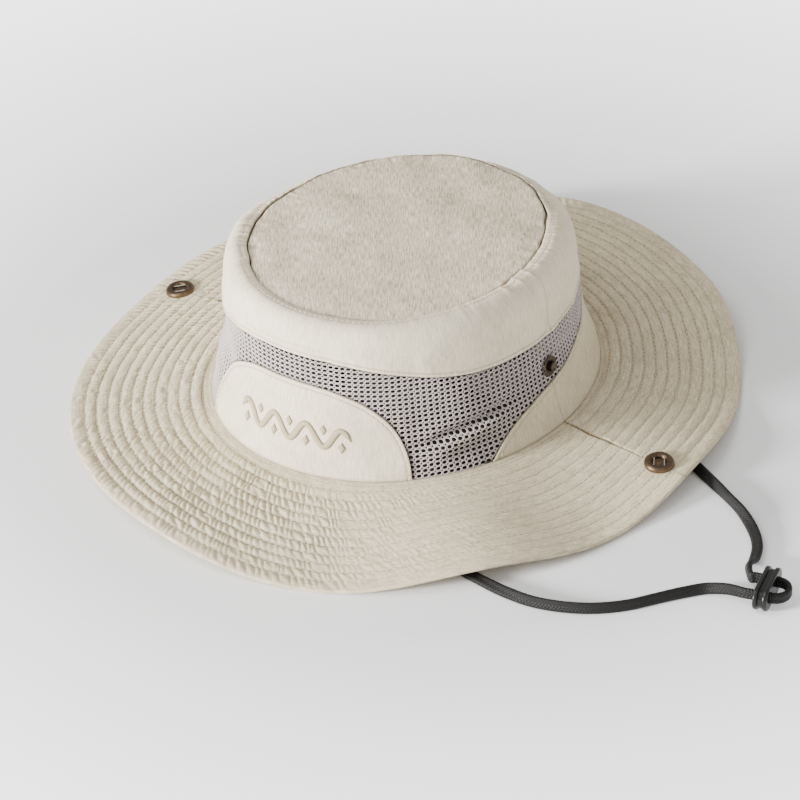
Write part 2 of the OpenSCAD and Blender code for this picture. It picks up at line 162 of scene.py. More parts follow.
def ring_n(t):
    x, y = np.cos(rad(t)) / BW, np.sin(rad(t)) / BL
    m = np.hypot(x, y)
    return x / m, y / m


def wide(t):
    return 70.5 - 1.8 * np.cos(2 * rad(t))


def lift(t):
    xs = np.array([-19, 5, 32, 60, 90, 127, 155, 190, 255, 291, 317, 341], float)
    ys = np.array([0.6, 8, 0.5, 13.5, 17, 0, 7, 0.3, 9, 0, 8, 0.6])
    return table_smooth(xs, ys, (np.asarray(t, float) + 19) % 360 - 19)


def brim_base(t, u):
    """Middle surface of the brim."""
    t, u = np.broadcast_arrays(np.asarray(t, float), np.asarray(u, float))
    nx, ny = ring_n(t); w = wide(t)
    z0 = BZ - 2.2
    g = np.where(u < 0, 0, 1 - np.clip(1 - u, 0, 1) ** 1.5)
    g = np.where(u > 1, 1.0, g)
    return np.stack([BW * np.cos(rad(t)) + nx * w * u, BL * np.sin(rad(t)) + ny * w * u, z0 + (lift(t) - z0) * g + np.where(u < 0, 0.28 * w * u, 0) + 1.1], -1)


def normals(f, a, b, da, db):
    """Unit normals of the surface f(a, b), by differences."""
    p = f(a + da, b) - f(a - da, b)
    q = f(a, b + db) - f(a, b - db)
    n = np.cross(p, q)
    return n / np.maximum(np.linalg.norm(n, axis=-1, keepdims=True), 1e-12)


def brim_n(t, u):
    n = normals(brim_base, t, np.clip(u, 0.0, 0.985), 0.15, 0.006)
    return n * np.sign(n[..., 2:3])


# how strongly each part of the brim puckers, and how deep its rows are, by angle
PUCK_A = [-58, -35, -8, 12, 40, 80, 120, 160, 185, 215, 250, 278, 302]
PUCK = [0.34, 0.10, 0.05, 0.14, 0.30, 0.38, 0.36, 0.42, 0.70, 0.98, 1.00, 0.82, 0.34]
QUIL = [0.52, 0.26, 0.24, 0.66, 1.05, 1.05, 1.0, 0.95, 1.15, 1.35, 1.2, 0.95, 0.52]


def snap_far(t, u):
    """Distance from the nearer snap on the brim, in millimetres."""
    d = [np.hypot(rad(turn(t, a)) * 151, (u - 0.78) * wide(a)) for a in (SEAM_L, SEAM_R)]
    return np.minimum(*d)


def brim_relief(t, q, top=True):
    """Height of the quilting above the brim's flat face; q counts the stitch rows inwards from the outer one."""
    t, q = np.broadcast_arrays(np.asarray(t, float), np.asarray(q, float))
    tt = (t + 58) % 360 - 58
    e = EDGE + PITCH * q
    u = 1 - e / wide(t)
    row = np.abs(np.sin(np.pi * np.clip(q, 0, 10)))
    hump = np.where(q < 0, np.sin(np.pi * np.clip(e / EDGE, 0, 1)) ** 0.8 * 0.9, row ** 0.75)
    hump = np.where(q > 10, 0.35 * smooth(10, 10.6, q), hump)
    deep = table_smooth(PUCK_A, QUIL, tt) * (0.80 + 0.28 * noise(t / 11, q / 2.5, 5, 33))
    amp = table_smooth(PUCK_A, PUCK, tt)
    edge_amp = table_smooth([-58, -35, 0, 25, 55, 100, 150, 200, 250, 285, 302], [0.14, 0.06, 0.10, 0.45, 0.85, 0.8, 0.7, 0.9, 0.95, 0.6, 0.14], tt)
    # short wrinkles across each row, gathered by its stitches; every row has its own rhythm
    k = np.floor(np.maximum(q, -1.0))
    f = np.where(q < 0, 1 + q / (EDGE / PITCH), q - k)
    around = 6.2832 * (97.5 + wide(t) - EDGE - PITCH * (k + 0.5))
    count = np.round(around / np.where(k < 0, 4.1, 3.5))
    phase = t / 360 * count + 1.10 * f + 7.3 * k + 0.9 * noise(t / 3.0, k * 1.7, 21, 120) + 0.36 * noise(t / 1.1, k * 2.3, 22, 327)
    wr = 0.48 * np.sin(2 * np.pi * phase) + 0.13 * np.sin(4 * np.pi * phase + 1.1)
    env = np.clip(0.74 + 0.62 * noise(t / 6.0, q / 2.1, 31, 60) + 0.25 * noise(t / 2.0, q / 1.1 + 9, 32, 180), 0.2, 1.25)
    puck = np.where(q < 0, edge_amp * (0.35 + 0.65 * np.clip(e / EDGE, 0, 1) ** 0.7) * 1.25, amp) * wr * env
    puck = puck * np.where(q < 0, 0.45 + 0.55 * hump, np.clip(hump, 0, 1) ** 0.6) * np.where(q > 9.2, np.clip(1 - (q - 9.2) / 1.0, 0.0, 1), 1)
    out = 0.86 * deep * (hump - 0.55) + 1.08 * puck
    out = out + 0.10 * noise(t / 1.4, q * 1.3, 35, 257) * np.clip(amp * 2.5, 0.15, 1)
    foot_d = (u * wide(t))
    out = out - 0.30 * bell(foot_d - 2.2, 0.45)
    for a in (SEAM_L, SEAM_R):
        r = 104 + 0.875 * wide(a) * u
        d = np.abs(rad(turn(t, a + 0.30 * noise(u * 9, 0 * u, 77)))) * r
        foot = smooth(0.46, 0.36, u) * smooth(0.0, 0.04, u)
        out = out + 0.20 * bell(d, 4.5) - (0.32 + 0.85 * foot * (1.0 if a == SEAM_L else 0.6)) * bell(d, 0.50) * (1.0 if top else 0.5)
    out = out * smooth(7.4, 12.5, snap_far(t, u)) + 0.10 * (1 - smooth(7.4, 12.5, snap_far(t, u)))
    return out * (1.0 if top else 0.75)


def wall_in(v):
    return pchip(WALL_V, WALL_IN, np.clip(v, 0, 1))


def wall_z(v):
    return pchip(WALL_V, WALL_Z, np.clip(v, 0, 1))


def tip_wave(t):
    """How the tip seam wanders in and out, in millimetres: calm at the front, scalloped at the sides and back."""
    back = smooth(25, 75, np.abs(turn(t, 285)))
    s = t / 360.0
    w = 0.95 * noise(s * 30, 0 * s, 41, 30) + 0.55 * noise(s * 58, 0 * s + 5, 42, 58)
    return w * back + 0.12 * noise(s * 60, 0 * s + 9, 43, 60)


def back_drop(t, v):
    """The shoulder falls away more steeply at the back than at the front."""
    k = smooth(88, 50, np.abs(turn(t, 118)))
    return k * pchip([0, 0.78, 0.84, 0.88, 0.94, 0.97, 1.0], [0, 0, 0.6, 2.2, 5.2, 4.4, 0.6], np.clip(v, 0, 1))


def crown_raw(t, v):
    t, v = np.broadcast_arrays(np.asarray(t, float), np.asarray(v, float))
    i, z = wall_in(v), wall_z(v)
    over = np.clip(v - 1, 0, None) * 100
    sc = tip_wave(t) * smooth(0.80, 0.97, v)
    nx, ny = ring_n(t)
    rise = smooth(0.85, 0.97, v) * (0.5 * noise(t / 20, 0 * t, 44, 18))
    return np.stack([(BW - TIN * i) * np.cos(rad(t)) - 2 * z / CH + nx * (sc - 0.12 * over), (BL - TIN * i) * np.sin(rad(t)) - 3 * z / CH + ny * (sc - 0.12 * over),
                     BZ + 0.05 + z + rise - 0.9 * over - back_drop(t, v)], -1)


def crown_n(t, v):
    n = normals(crown_raw, t, np.clip(v, 0.012, 0.985), 0.4, 0.010)
    x, y = ring_n(t)
    s = np.sign(n[..., 0] * x + n[..., 1] * y + n[..., 2])
    return n * np.where(s == 0, 1, s)[..., None]


def crown_wrinkle(t, h):
    """Soft dents and folds of the whole crown: out of the cloth, in millimetres."""
    t, h = np.broadcast_arrays(np.asarray(t, float), np.asarray(h, float))
    w = 0.80 * noise(t / 24, h / 26 + 3, 51, 15) + 0.55 * noise(t / 12 + h / 60, h / 14, 52, 30) + 0.16 * noise(t / 5, h / 9, 53, 72) + 0.26 * noise(t / 4, h / 26, 54, 90)
    w = w * smooth(0, 10, h) * smooth(79, 62, h)
    # fold in the mesh at the front left: a ledge that rises towards the side
    along = (turn(t, 316)) / 26.0
    line = 15.5 + 8.5 * np.clip(along, 0, 1)
    on = smooth(-0.28, 0.12, along) * smooth(1.35, 0.75, along)
    d = h - line
    w = w + on * (2.1 * bell(d + 4.2, 3.8) - 2.7 * bell(d - 1.0, 2.2) + 0.7 * bell(d - 6, 4))
    # bulge and dent at the front right
    w = w + 2.1 * bell(turn(t, 222), 13) * bell(h - 20, 11) - 2.0 * bell(turn(t, 214), 15) * bell(h - 39, 8.5)
    w = w + 0.7 * bell(turn(t, 243), 5) * bell(h - 40, 6)
    return w


def crown_p(t, v, off):
    h = v * 79.3
    return crown_raw(t, v) + crown_n(t, v) * (off + crown_wrinkle(t, h))[..., None]


def away(t):
    return np.abs(turn(t, 270))


def band_low(t):
    return 45.5 + 14.5 * np.exp(-(away(t) / 44) ** 2.6)


def panel_top(t):
    x = np.clip(away(t) / 39.0, 0, 1)
    return np.maximum(0.6, 45 * (1 - x ** 2.6) ** 0.44)


def rear_top(t):
    a = away(t)
    return np.minimum(band_low(t) + 1.5, np.maximum(0.6, 24 * (1 - np.exp(-np.clip(a - 63, 0, None) / 14)) + np.where(a > 80, 14 * ((a - 80) / 55) ** 2, 0)))


# ------------------------------------------------------------------ meshes
def make(name, pts, faces, uv=None, attrs=None, flat_faces=None, smooth_all=True):
    """A mesh object from points in millimetres and a list or array of faces."""
    me = bpy.data.meshes.new(name)
    pts = np.asarray(pts, float).reshape(-1, 3)
    if isinstance(faces, np.ndarray):
        nf, k = faces.shape
        loops = faces.ravel(); starts = np.arange(nf) * k; totals = np.full(nf, k)
    else:
        parts = [np.asarray(f).reshape(-1) if np.ndim(f) == 1 else np.asarray(f) for f in faces]
        loops = []; starts = []; totals = []; pos = 0
        for f in parts:
            f2 = f.reshape(1, -1) if f.ndim == 1 else f
            for_k = f2.shape[1]
            loops.append(f2.ravel()); n = f2.shape[0]
            starts.append(pos + np.arange(n) * for_k); totals.append(np.full(n, for_k)); pos += n * for_k
        loops = np.concatenate(loops); starts = np.concatenate(starts); totals = np.concatenate(totals); nf = len(starts)
    me.vertices.add(len(pts)); me.vertices.foreach_set("co", (pts * MM).astype(np.float32).ravel())
    me.loops.add(len(loops)); me.loops.foreach_set("vertex_index", loops.astype(np.int32))
    me.polygons.add(nf); me.polygons.foreach_set("loop_start", starts.astype(np.int32))
    me.polygons.foreach_set("loop_total", totals.astype(np.int32))
    me.update(calc_edges=True)
    me.validate(clean_customdata=False)
    if smooth_all:
        me.polygons.foreach_set("use_smooth", np.ones(len(me.polygons), bool))
    if uv is not None:
        lay = me.uv_layers.new(name="UVMap")
        lv = np.zeros(len(me.loops), np.int32); me.loops.foreach_get("vertex_index", lv)
        lay.data.foreach_set("uv", np.asarray(uv, np.float32).reshape(-1, 2)[lv].ravel())
    for key, val in (attrs or {}).items():
        at = me.attributes.new(key, "FLOAT", "POINT")
        at.data.foreach_set("value", np.asarray(val, np.float32).ravel())
    ob = bpy.data.objects.new(name, me)
    SC.collection.objects.link(ob)
    return ob


def grid_faces(ni, nj, wrap_i=False, wrap_j=False, base=0, flip=False):
    i = np.arange(ni if wrap_i else ni - 1); j = np.arange(nj if wrap_j else nj - 1)
    I, J = np.meshgrid(i, j, indexing="ij")
    I2, J2 = (I + 1) % ni, (J + 1) % nj
    f = np.stack([I * nj + J, I2 * nj + J, I2 * nj + J2, I * nj + J2], -1).reshape(-1, 4) + base
    return f[:, ::-1] if flip else f


def sharp_caps(ob, caps):
    """Marks the edges around the given faces sharp."""
    me = ob.data
    want = set(caps)
    at = me.attributes.new("sharp_edge", "BOOLEAN", "EDGE")
    vals = np.zeros(len(me.edges), bool)
    keys = {tuple(sorted(e.vertices)): e.index for e in me.edges}
    for p in me.polygons:
        if p.index in want:
            vs = list(p.vertices)
            for a, b in zip(vs, vs[1:] + vs[:1]):
                vals[keys[tuple(sorted((a, b)))]] = True
    at.data.foreach_set("value", vals)


def paint(ob, mat, body=None, replaces=()):
    ob.data.materials.clear()
    ob.data.materials.append(mat)
    if body:
        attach(ob, body)
    if replaces:
        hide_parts(*replaces)
    return ob


# ------------------------------------------------------------------ materials
class Nodes:
    def __init__(self, name):
        self.mat = bpy.data.materials.new(name)
        self.mat.use_nodes = True
        self.t = self.mat.node_tree
        self.t.nodes.clear()
        self.out = self.n("ShaderNodeOutputMaterial")
        self.bsdf = self.n("ShaderNodeBsdfPrincipled")
        self.link(self.bsdf.outputs[0], self.out.inputs[0])

    def n(self, kind, **props):
        node = self.t.nodes.new(kind)
        for k, v in props.items():
            setattr(node, k, v)
        return node

    def link(self, a, b):
        self.t.links.new(a, b)

    def put(self, socket, value):
        if hasattr(value, "is_output") or isinstance(value, bpy.types.NodeSocket):
            self.link(value, socket)
        else:
            socket.default_value = value

    def math(self, op, a, b=None, c=None, clamp=False):
        node = self.n("ShaderNodeMath", operation=op, use_clamp=clamp)
        for i, v in enumerate((a, b, c)):
            if v is not None:
                self.put(node.inputs[i], v)
        return node.outputs[0]

    def mix(self, f, a, b, blend="MIX"):
        node = self.n("ShaderNodeMix", data_type="RGBA", blend_type=blend)
        self.put(node.inputs[0], f)
        for s, v in ((node.inputs[6], a), (node.inputs[7], b)):
            self.put(s, (*v, 1.0) if isinstance(v, tuple) and len(v) == 3 else v)
        return node.outputs[2]

    def noise(self, vec, scale, detail=2.0, rough=0.5):
        node = self.n("ShaderNodeTexNoise")
        self.link(vec, node.inputs["Vector"])
        node.inputs["Scale"].default_value = scale
        node.inputs["Detail"].default_value = detail
        node.inputs["Roughness"].default_value = rough
        return node.outputs[0]

    def map(self, vec, scale=(1, 1, 1), rot=(0, 0, 0)):
        node = self.n("ShaderNodeMapping")
        self.link(vec, node.inputs["Vector"])
        node.inputs["Scale"].default_value = scale
        node.inputs["Rotation"].default_value = rot
        return node.outputs[0]

    def ramp(self, v, lo, hi):
        node = self.n("ShaderNodeMapRange")
        self.link(v, node.inputs[0])
        node.inputs[1].default_value, node.inputs[2].default_value = lo, hi
        return node.outputs[0]

    def attr(self, name):
        return self.n("ShaderNodeAttribute", attribute_name=name).outputs["Fac"]


def cloth(name, base, dark, light, pitch=0.62, streak=0.5, bump=0.25, sheen=0.25, crease_shade=None, vert=True, slub=1.0):
    """Cotton twill. UV is in millimetres; the weave's pitch is in millimetres."""
    m = Nodes(name)
    uv = m.n("ShaderNodeUVMap", uv_map="UVMap").outputs[0]
    sep = m.n("ShaderNodeSeparateXYZ"); m.link(uv, sep.inputs[0])
    x, y = sep.outputs[0], sep.outputs[1]
    wob = m.noise(m.map(uv, (0.35, 0.35, 1)), 1.0, 2.0)
    k = 2 * math.pi / pitch
    d1 = m.math("MULTIPLY_ADD", x, k * 0.82, m.math("MULTIPLY", y, k * 0.57))
    twill = m.math("SINE", m.math("ADD", d1, m.math("MULTIPLY", wob, 3.0)))
    warp = m.math("SINE", m.math("MULTIPLY", x if vert else y, 2 * math.pi / (pitch * 0.9)))
    weave = m.math("MULTIPLY_ADD", warp, 0.35, m.math("MULTIPLY", twill, 0.65))
    s1 = m.noise(m.map(uv, (1.5, 0.16, 1) if vert else (0.16, 1.5, 1)), 1.0, 3.0, 0.6)
    s2 = m.noise(m.map(uv, (0.5, 1.9, 1) if vert else (1.9, 0.5, 1)), 1.0, 2.0, 0.5)
    blot = m.noise(m.map(uv, (0.05, 0.05, 1)), 1.0, 3.0, 0.55)
    fac = m.math("MULTIPLY_ADD", m.math("SUBTRACT", s1, 0.5), 2.2 * streak * slub, 0.5)
    fac = m.math("MULTIPLY_ADD", m.math("SUBTRACT", s2, 0.5), 1.0 * streak, fac)
    fac = m.math("MULTIPLY_ADD", m.math("SUBTRACT", blot, 0.5), 0.55, fac)
    fac = m.math("MULTIPLY_ADD", weave, 0.10, fac, clamp=True)
    col = m.mix(fac, dark, light)
    # Painted shade: where the crease attribute is high, the colour is darkened towards the given shade colour, standing
    # in for shadow in grooves, seams and under folded edges.
    if crease_shade is not None:
        c = m.attr("crease_shade")
        col = m.mix(m.math("MULTIPLY", c, 0.9, clamp=True), col, crease_shade)
    # Painted shade: the inner layer of each cloth, flagged by the inside attribute, is made nearly black, standing in
    # for the shadow inside the crown.
    col = m.mix(m.math("MULTIPLY", m.attr("inside"), 0.93, clamp=True), col, (0.020, 0.017, 0.014))
    m.put(m.bsdf.inputs["Base Color"], col)
    m.put(m.bsdf.inputs["Roughness"], m.math("MULTIPLY_ADD", s2, 0.15, 0.80))
    m.bsdf.inputs["Sheen Weight"].default_value = sheen
    m.bsdf.inputs["Sheen Roughness"].default_value = 0.45
    m.bsdf.inputs["Sheen Tint"].default_value = (*light, 1)
    m.bsdf.inputs["Specular IOR Level"].default_value = 0.12
    hgt = m.math("MULTIPLY_ADD", weave, 0.35, m.math("MULTIPLY", s1, 1.3 * slub))
    hgt = m.math("MULTIPLY_ADD", s2, 0.6, hgt)
    b = m.n("ShaderNodeBump"); b.inputs["Strength"].default_value = bump
    b.inputs["Distance"].default_value = 0.0004
    m.link(hgt, b.inputs["Height"]); m.link(b.outputs[0], m.bsdf.inputs["Normal"])
    return m.mat


def metal(name, base, dark, rough=0.38, scale=700):
    m = Nodes(name)
    geo = m.n("ShaderNodeTexCoord").outputs["Object"]
    n1 = m.noise(geo, scale, 4.0, 0.6); n2 = m.noise(geo, scale * 3.5, 2.0)
    point = m.n("ShaderNodeNewGeometry").outputs["Pointiness"]
    rub = m.ramp(point, 0.50, 0.56)
    fac = m.ramp(n1, 0.30, 0.72)
    col = m.mix(fac, dark, base)
    col = m.mix(m.math("MULTIPLY", rub, 0.6, clamp=True), col, tuple(min(1, c * 1.9) for c in base))
    m.put(m.bsdf.inputs["Base Color"], col)
    m.bsdf.inputs["Metallic"].default_value = 0.95
    m.put(m.bsdf.inputs["Roughness"], m.math("MULTIPLY_ADD", n2, 0.25, rough - 0.1))
    b = m.n("ShaderNodeBump"); b.inputs["Strength"].default_value = 0.12; b.inputs["Distance"].default_value = 0.0002
    m.link(n2, b.inputs["Height"]); m.link(b.outputs[0], m.bsdf.inputs["Normal"])
    return m.mat


# The crease colour of each material below is a painted shade colour for its grooves, seams and folded edges.
M_TIP = cloth("tip_twill", None, (0.380, 0.312, 0.205), (0.920, 0.818, 0.618), streak=1.0, crease_shade=(0.10, 0.075, 0.045), slub=1.25)
M_BAND = cloth("cream_twill", None, (0.520, 0.443, 0.302), (0.900, 0.812, 0.632), streak=0.65, crease_shade=(0.16, 0.12, 0.07))
M_BRIM = cloth("brim_twill", None, (0.370, 0.304, 0.188), (0.835, 0.736, 0.535), streak=0.80, crease_shade=(0.20, 0.15, 0.08), vert=False)
M_REAR = cloth("rear_twill", None, (0.430, 0.357, 0.232), (0.790, 0.696, 0.508), streak=0.65, crease_shade=(0.16, 0.12, 0.07))
M_THREAD = cloth("thread", None, (0.600, 0.520, 0.385), (0.780, 0.700, 0.545), pitch=0.25, streak=0.3)
M_MESH = cloth("mesh_yarn", None, (0.320, 0.274, 0.258), (0.610, 0.545, 0.518), pitch=0.30, streak=0.5, bump=0.4, crease_shade=(0.055, 0.044, 0.036))
M_TAPE = cloth("seam_tape", None, (0.500, 0.465, 0.385), (0.660, 0.620, 0.530), streak=0.4)
M_SWEAT = cloth("sweatband_cloth", None, (0.022, 0.020, 0.018), (0.050, 0.046, 0.041), streak=0.4)
M_LINING = cloth("interlining", None, (0.62, 0.62, 0.60), (0.78, 0.78, 0.76), streak=0.3)
M_BRASS = metal("antique_brass", (0.135, 0.090, 0.055), (0.036, 0.026, 0.019), 0.34)
M_DARK = metal("dark_brass", (0.085, 0.065, 0.045), (0.018, 0.015, 0.013), 0.30)
M_WIRE = metal("spring_wire", (0.42, 0.39, 0.34), (0.20, 0.18, 0.15), 0.28)


def cord_material():
    m = Nodes("braided_cord")
    uv = m.n("ShaderNodeUVMap", uv_map="UVMap").outputs[0]
    sep = m.n("ShaderNodeSeparateXYZ"); m.link(uv, sep.inputs[0])
    k = 2 * math.pi
    a = m.math("SINE", m.math("MULTIPLY_ADD", sep.outputs[0], k / 1.6, m.math("MULTIPLY", sep.outputs[1], k / 1.6)))
    b = m.math("SINE", m.math("MULTIPLY_ADD", sep.outputs[0], k / 1.6, m.math("MULTIPLY", sep.outputs[1], -k / 1.6)))
    w = m.math("MAXIMUM", a, b)
    fib = m.noise(m.map(uv, (3.0, 0.8, 1)), 1.0, 3.0)
    col = m.mix(m.math("MULTIPLY_ADD", w, 0.25, m.math("MULTIPLY", fib, 0.75), clamp=True), (0.003, 0.003, 0.003), (0.022, 0.021, 0.019))
    m.put(m.bsdf.inputs["Base Color"], col)
    m.put(m.bsdf.inputs["Roughness"], m.math("MULTIPLY_ADD", fib, 0.25, 0.36))
    m.bsdf.inputs["Specular IOR Level"].default_value = 0.22
    bp = m.n("ShaderNodeBump"); bp.inputs["Strength"].default_value = 0.5; bp.inputs["Distance"].default_value = 0.0003
    m.link(m.math("MULTIPLY_ADD", fib, 0.5, w), bp.inputs["Height"]); m.link(bp.outputs[0], m.bsdf.inputs["Normal"])
    return m.mat


def plastic_material():
    m = Nodes("slider_plastic")
    geo = m.n("ShaderNodeTexCoord").outputs["Object"]
    n1 = m.noise(geo, 900, 2.0)
    m.put(m.bsdf.inputs["Base Color"], m.mix(n1, (0.004, 0.004, 0.004), (0.012, 0.012, 0.011)))
    m.put(m.bsdf.inputs["Roughness"], m.math("MULTIPLY_ADD", n1, 0.12, 0.22))
    m.bsdf.inputs["Specular IOR Level"].default_value = 0.34
    b = m.n("ShaderNodeBump"); b.inputs["Strength"].default_value = 0.06; b.inputs["Distance"].default_value = 0.0002
    m.link(m.noise(geo, 2600, 1.0), b.inputs["Height"]); m.link(b.outputs[0], m.bsdf.inputs["Normal"])
    return m.mat


M_CORD = cord_material()
M_PLASTIC = plastic_material()

# ------------------------------------------------------------------ chin cord
SL_C = np.array([235.5, -55.2, 6.2]); SL_N = np.array([-0.9716, -0.2366, 0.0]); SL_T = np.array([-0.2366, 0.9716, 0.0])
HOLE_A, HOLE_B = SL_C + SL_T * 6.6, SL_C - SL_T * 6.6
ROUTE_A = [[85.6, 0, 14.1], [80, 1, 12.8], [72, 3, 9], [62, 6, 4.6], [50, 9, 3], [36, 12, 2.9],
           [22, 15, 2.9], [8, 18, 2.9], [-5, 22, 2.9], [-14, 29, 2.9], [-17, 39, 2.9], [-13, 49, 2.9],
           [-3, 56, 2.9], [10, 58, 2.9], [24, 56, 2.9], [38, 53, 2.9], [52, 50, 2.9], [66, 47, 2.9],
           [80, 44, 2.9], [94, 41, 2.9], [108, 37, 2.9], [121, 33, 2.9], [134, 28, 2.9], [146, 23, 2.9],
           [157, 17, 2.9], [169, 10, 2.9], [181, 3, 2.9], [193, -4, 2.9], [204, -13, 2.9], [212, -23, 3],
           [216.6, -34, 3.6], [219.3, -43.6, 5.5], list(HOLE_A + SL_N * 9.6), list(HOLE_A + SL_N * 7.4), list(HOLE_A + SL_N * 5.2), list(HOLE_A)]
ROUTE_B = [[-85.5, 5, 14.1], [-80, 5, 12.8], [-72, 5, 9], [-62, 4, 4.6], [-50, 1, 3], [-38, -6, 2.9],
           [-30, -17, 2.9], [-25, -30, 2.9], [-18, -42, 2.9], [-7, -50, 2.9], [6, -53, 2.9], [20, -52, 2.9],
           [34, -52, 2.9], [47, -56, 2.9], [59, -63, 2.9], [70, -72, 2.9], [79, -83, 2.9], [86, -95, 2.9],
           [94, -106, 2.9], [106, -113, 2.9], [120, -116, 2.9], [134, -118, 2.9], [148, -118, 2.9], [162, -114, 2.9],
           [175, -107, 2.9], [186, -97, 2.9], [194, -86, 2.9], [202, -75, 3], [210, -66, 3.6],
           [219.5, -64.2, 5.2], [227.7, -63.9, 6.2], list(HOLE_B + SL_N * 5.2), list(HOLE_B)]
ROUTE_LOOP = [list(HOLE_A - SL_N * 0.02)] + [
    list(SL_C - SL_N * (3.8 + 6.6 * math.cos(math.radians(90 - k * 22.5))) + SL_T * 6.6 * math.sin(math.radians(90 - k * 22.5)))
    for k in range(9)] + [list(HOLE_B - SL_N * 0.02)]
CW, CT = 2.72, 1.45      # half width and half thickness of the flat cord


def flat_cord(name, route, edge_at, body="hat"):
    """Braided flat cord along a route; edge_at gives how far it stands on its edge, by share of its length."""
    line, s = spline(route, 0.55)
    L = s[-1]
    phi = rad(table_smooth([a for a, _ in edge_at], [b for _, b in edge_at], s / L))
    half = np.sqrt((CW * np.sin(phi)) ** 2 + (CT * np.cos(phi)) ** 2) + 0.12
    # on the surface the cord rests on its own thickness
    low = smooth(5.2, 3.1, line[:, 2])
    line = line.copy(); line[:, 2] = line[:, 2] * (1 - low) + half * low
    line[:, 2] = np.convolve(np.pad(line[:, 2], 6, "edge"), np.ones(13) / 13, "valid")
    tan = np.gradient(line, axis=0); tan /= np.linalg.norm(tan, axis=1, keepdims=True)
    side = np.cross([0, 0, 1], tan); side /= np.linalg.norm(side, axis=1, keepdims=True)
    up = np.cross(tan, side)
    a = side * np.cos(phi)[:, None] + up * np.sin(phi)[:, None]
    b = -side * np.sin(phi)[:, None] + up * np.cos(phi)[:, None]
    n = 30
    ang = np.linspace(0, 2 * np.pi, n, endpoint=False)
    cw, ct = np.sign(np.cos(ang)) * np.abs(np.cos(ang)) ** 0.80, np.sign(np.sin(ang)) * np.abs(np.sin(ang)) ** 0.72
    groove = 1 - 0.20 * bell(np.cos(ang), 0.22)
    x, y = CW * cw, CT * ct * groove
    sx = np.cumsum(np.hypot(np.diff(x, append=x[0]), np.diff(y, append=y[0])))
    S, X = np.meshgrid(s, sx, indexing="ij")
    br = 0.085 * np.sin(2 * np.pi * (S + X) / 1.9) * np.sin(2 * np.pi * (S - X) / 1.9)
    f = (1 + br / 1.2)[..., None]
    P = line[:, None, :] + (a[:, None, :] * x[None, :, None] + b[:, None, :] * y[None, :, None]) * f
    P[..., 2] = np.maximum(P[..., 2], 0.03)
    m = len(line)
    faces = [grid_faces(m, n, wrap_j=True), np.arange(n), (m - 1) * n + np.arange(n)[::-1]]
    ob = make(name, P, faces, uv=np.stack([X, S], -1))
    paint(ob, M_CORD, body)
    return ob, line, L


cord_l, path_l, len_l = flat_cord("chin_cord_left_braid", ROUTE_A, [(0, 0), (0.60, 0), (0.72, 15), (0.81, 78), (0.87, 25), (0.92, 20), (0.972, 88), (1, 90)])
cord_r, path_r, len_r = flat_cord("chin_cord_right_braid", ROUTE_B, [(0, 0), (0.50, 0), (0.62, 12), (0.74, 72), (0.86, 82), (0.93, 60), (0.985, 88), (1, 90)])
loop, path_o, len_o = flat_cord("cord_end_loop_braid", ROUTE_LOOP, [(0, 90), (1, 90)])
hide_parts("chin_cord_left")
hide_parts("chin_cord_right")
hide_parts("cord_end_loop")


def slider():
    """The two-hole slider: two rimmed faces with a groove between them, and rounded edges."""
    L, W, T = 27.0, 12.0, 7.0
    st = (L - W) / 2
    n = 96
    ang = np.linspace(0, 2 * np.pi, n, endpoint=False)

    def outline(r):
        return np.stack([r * np.cos(ang), np.sign(np.sin(ang)) * st * (np.abs(np.sin(ang)) > 1e-9) + r * np.sin(ang)], -1)

    # (radius from the outline, height): a closed profile from one face to the other
    prof = [(3.7, -3.42), (4.6, -3.46), (5.2, -3.46), (5.6, -3.38), (5.88, -3.16), (6.0, -2.85), (6.0, -1.75), (5.9, -1.45), (5.62, -1.28), (5.2, -1.2), (5.02, -1.05),
            (5.0, 0), (5.02, 1.05), (5.2, 1.2), (5.62, 1.28), (5.9, 1.45), (6.0, 1.75), (6.0, 2.85), (5.88, 3.16), (5.6, 3.38), (5.2, 3.46), (4.6, 3.46), (3.7, 3.42)]
    P = []
    for r, z in prof:
        o = outline(r)
        P.append(np.column_stack([o, np.full(n, z)]))
    P = np.array(P)
    m = len(prof)
    faces = [grid_faces(m, n, wrap_j=True, flip=True), np.arange(n), (m - 1) * n + np.arange(n)[::-1]]
    x, y, z = P[..., 0], P[..., 1], P[..., 2]
    # local z is the holes' axis, local y the long axis, local x up
    W3 = SL_C + z[..., None] * SL_N + y[..., None] * SL_T + x[..., None] * np.array([0, 0, 1.0])
    ob = make("cord_slider_body", W3, faces)
    cut = []
    for s in (-1, 1):
        bpy.ops.mesh.primitive_cylinder_add(vertices=48, radius=3.05 * MM, depth=12 * MM)
        c = bpy.context.object
        c.rotation_euler = Vector(SL_N).to_track_quat("Z", "Y").to_euler()
        c.location = Vector((SL_C + SL_T * 6.6 * s) * MM)
        cut.append(c)
        mod = ob.modifiers.new("hole", "BOOLEAN"); mod.object = c; mod.operation = "DIFFERENCE"; mod.solver = "EXACT"
    dg = bpy.context.evaluated_depsgraph_get()
    me = bpy.data.meshes.new_from_object(ob.evaluated_get(dg))
    ob.modifiers.clear(); ob.data = me
    for c in cut:
        bpy.data.objects.remove(c)
    bv = ob.modifiers.new("bevel", "BEVEL"); bv.width = 0.35 * MM; bv.segments = 3; bv.limit_method = "ANGLE"; bv.angle_limit = math.radians(50)
    dg = bpy.context.evaluated_depsgraph_get()
    me = bpy.data.meshes.new_from_object(ob.evaluated_get(dg))
    ob.modifiers.clear(); ob.data = me
    me.polygons.foreach_set("use_smooth", np.ones(len(me.polygons), bool))
    try:
        me.set_sharp_from_angle(angle=math.radians(32))
    except Exception:
        pass
    paint(ob, M_PLASTIC, "slider", ["cord_slider"])
    return ob


slider_ob = slider()


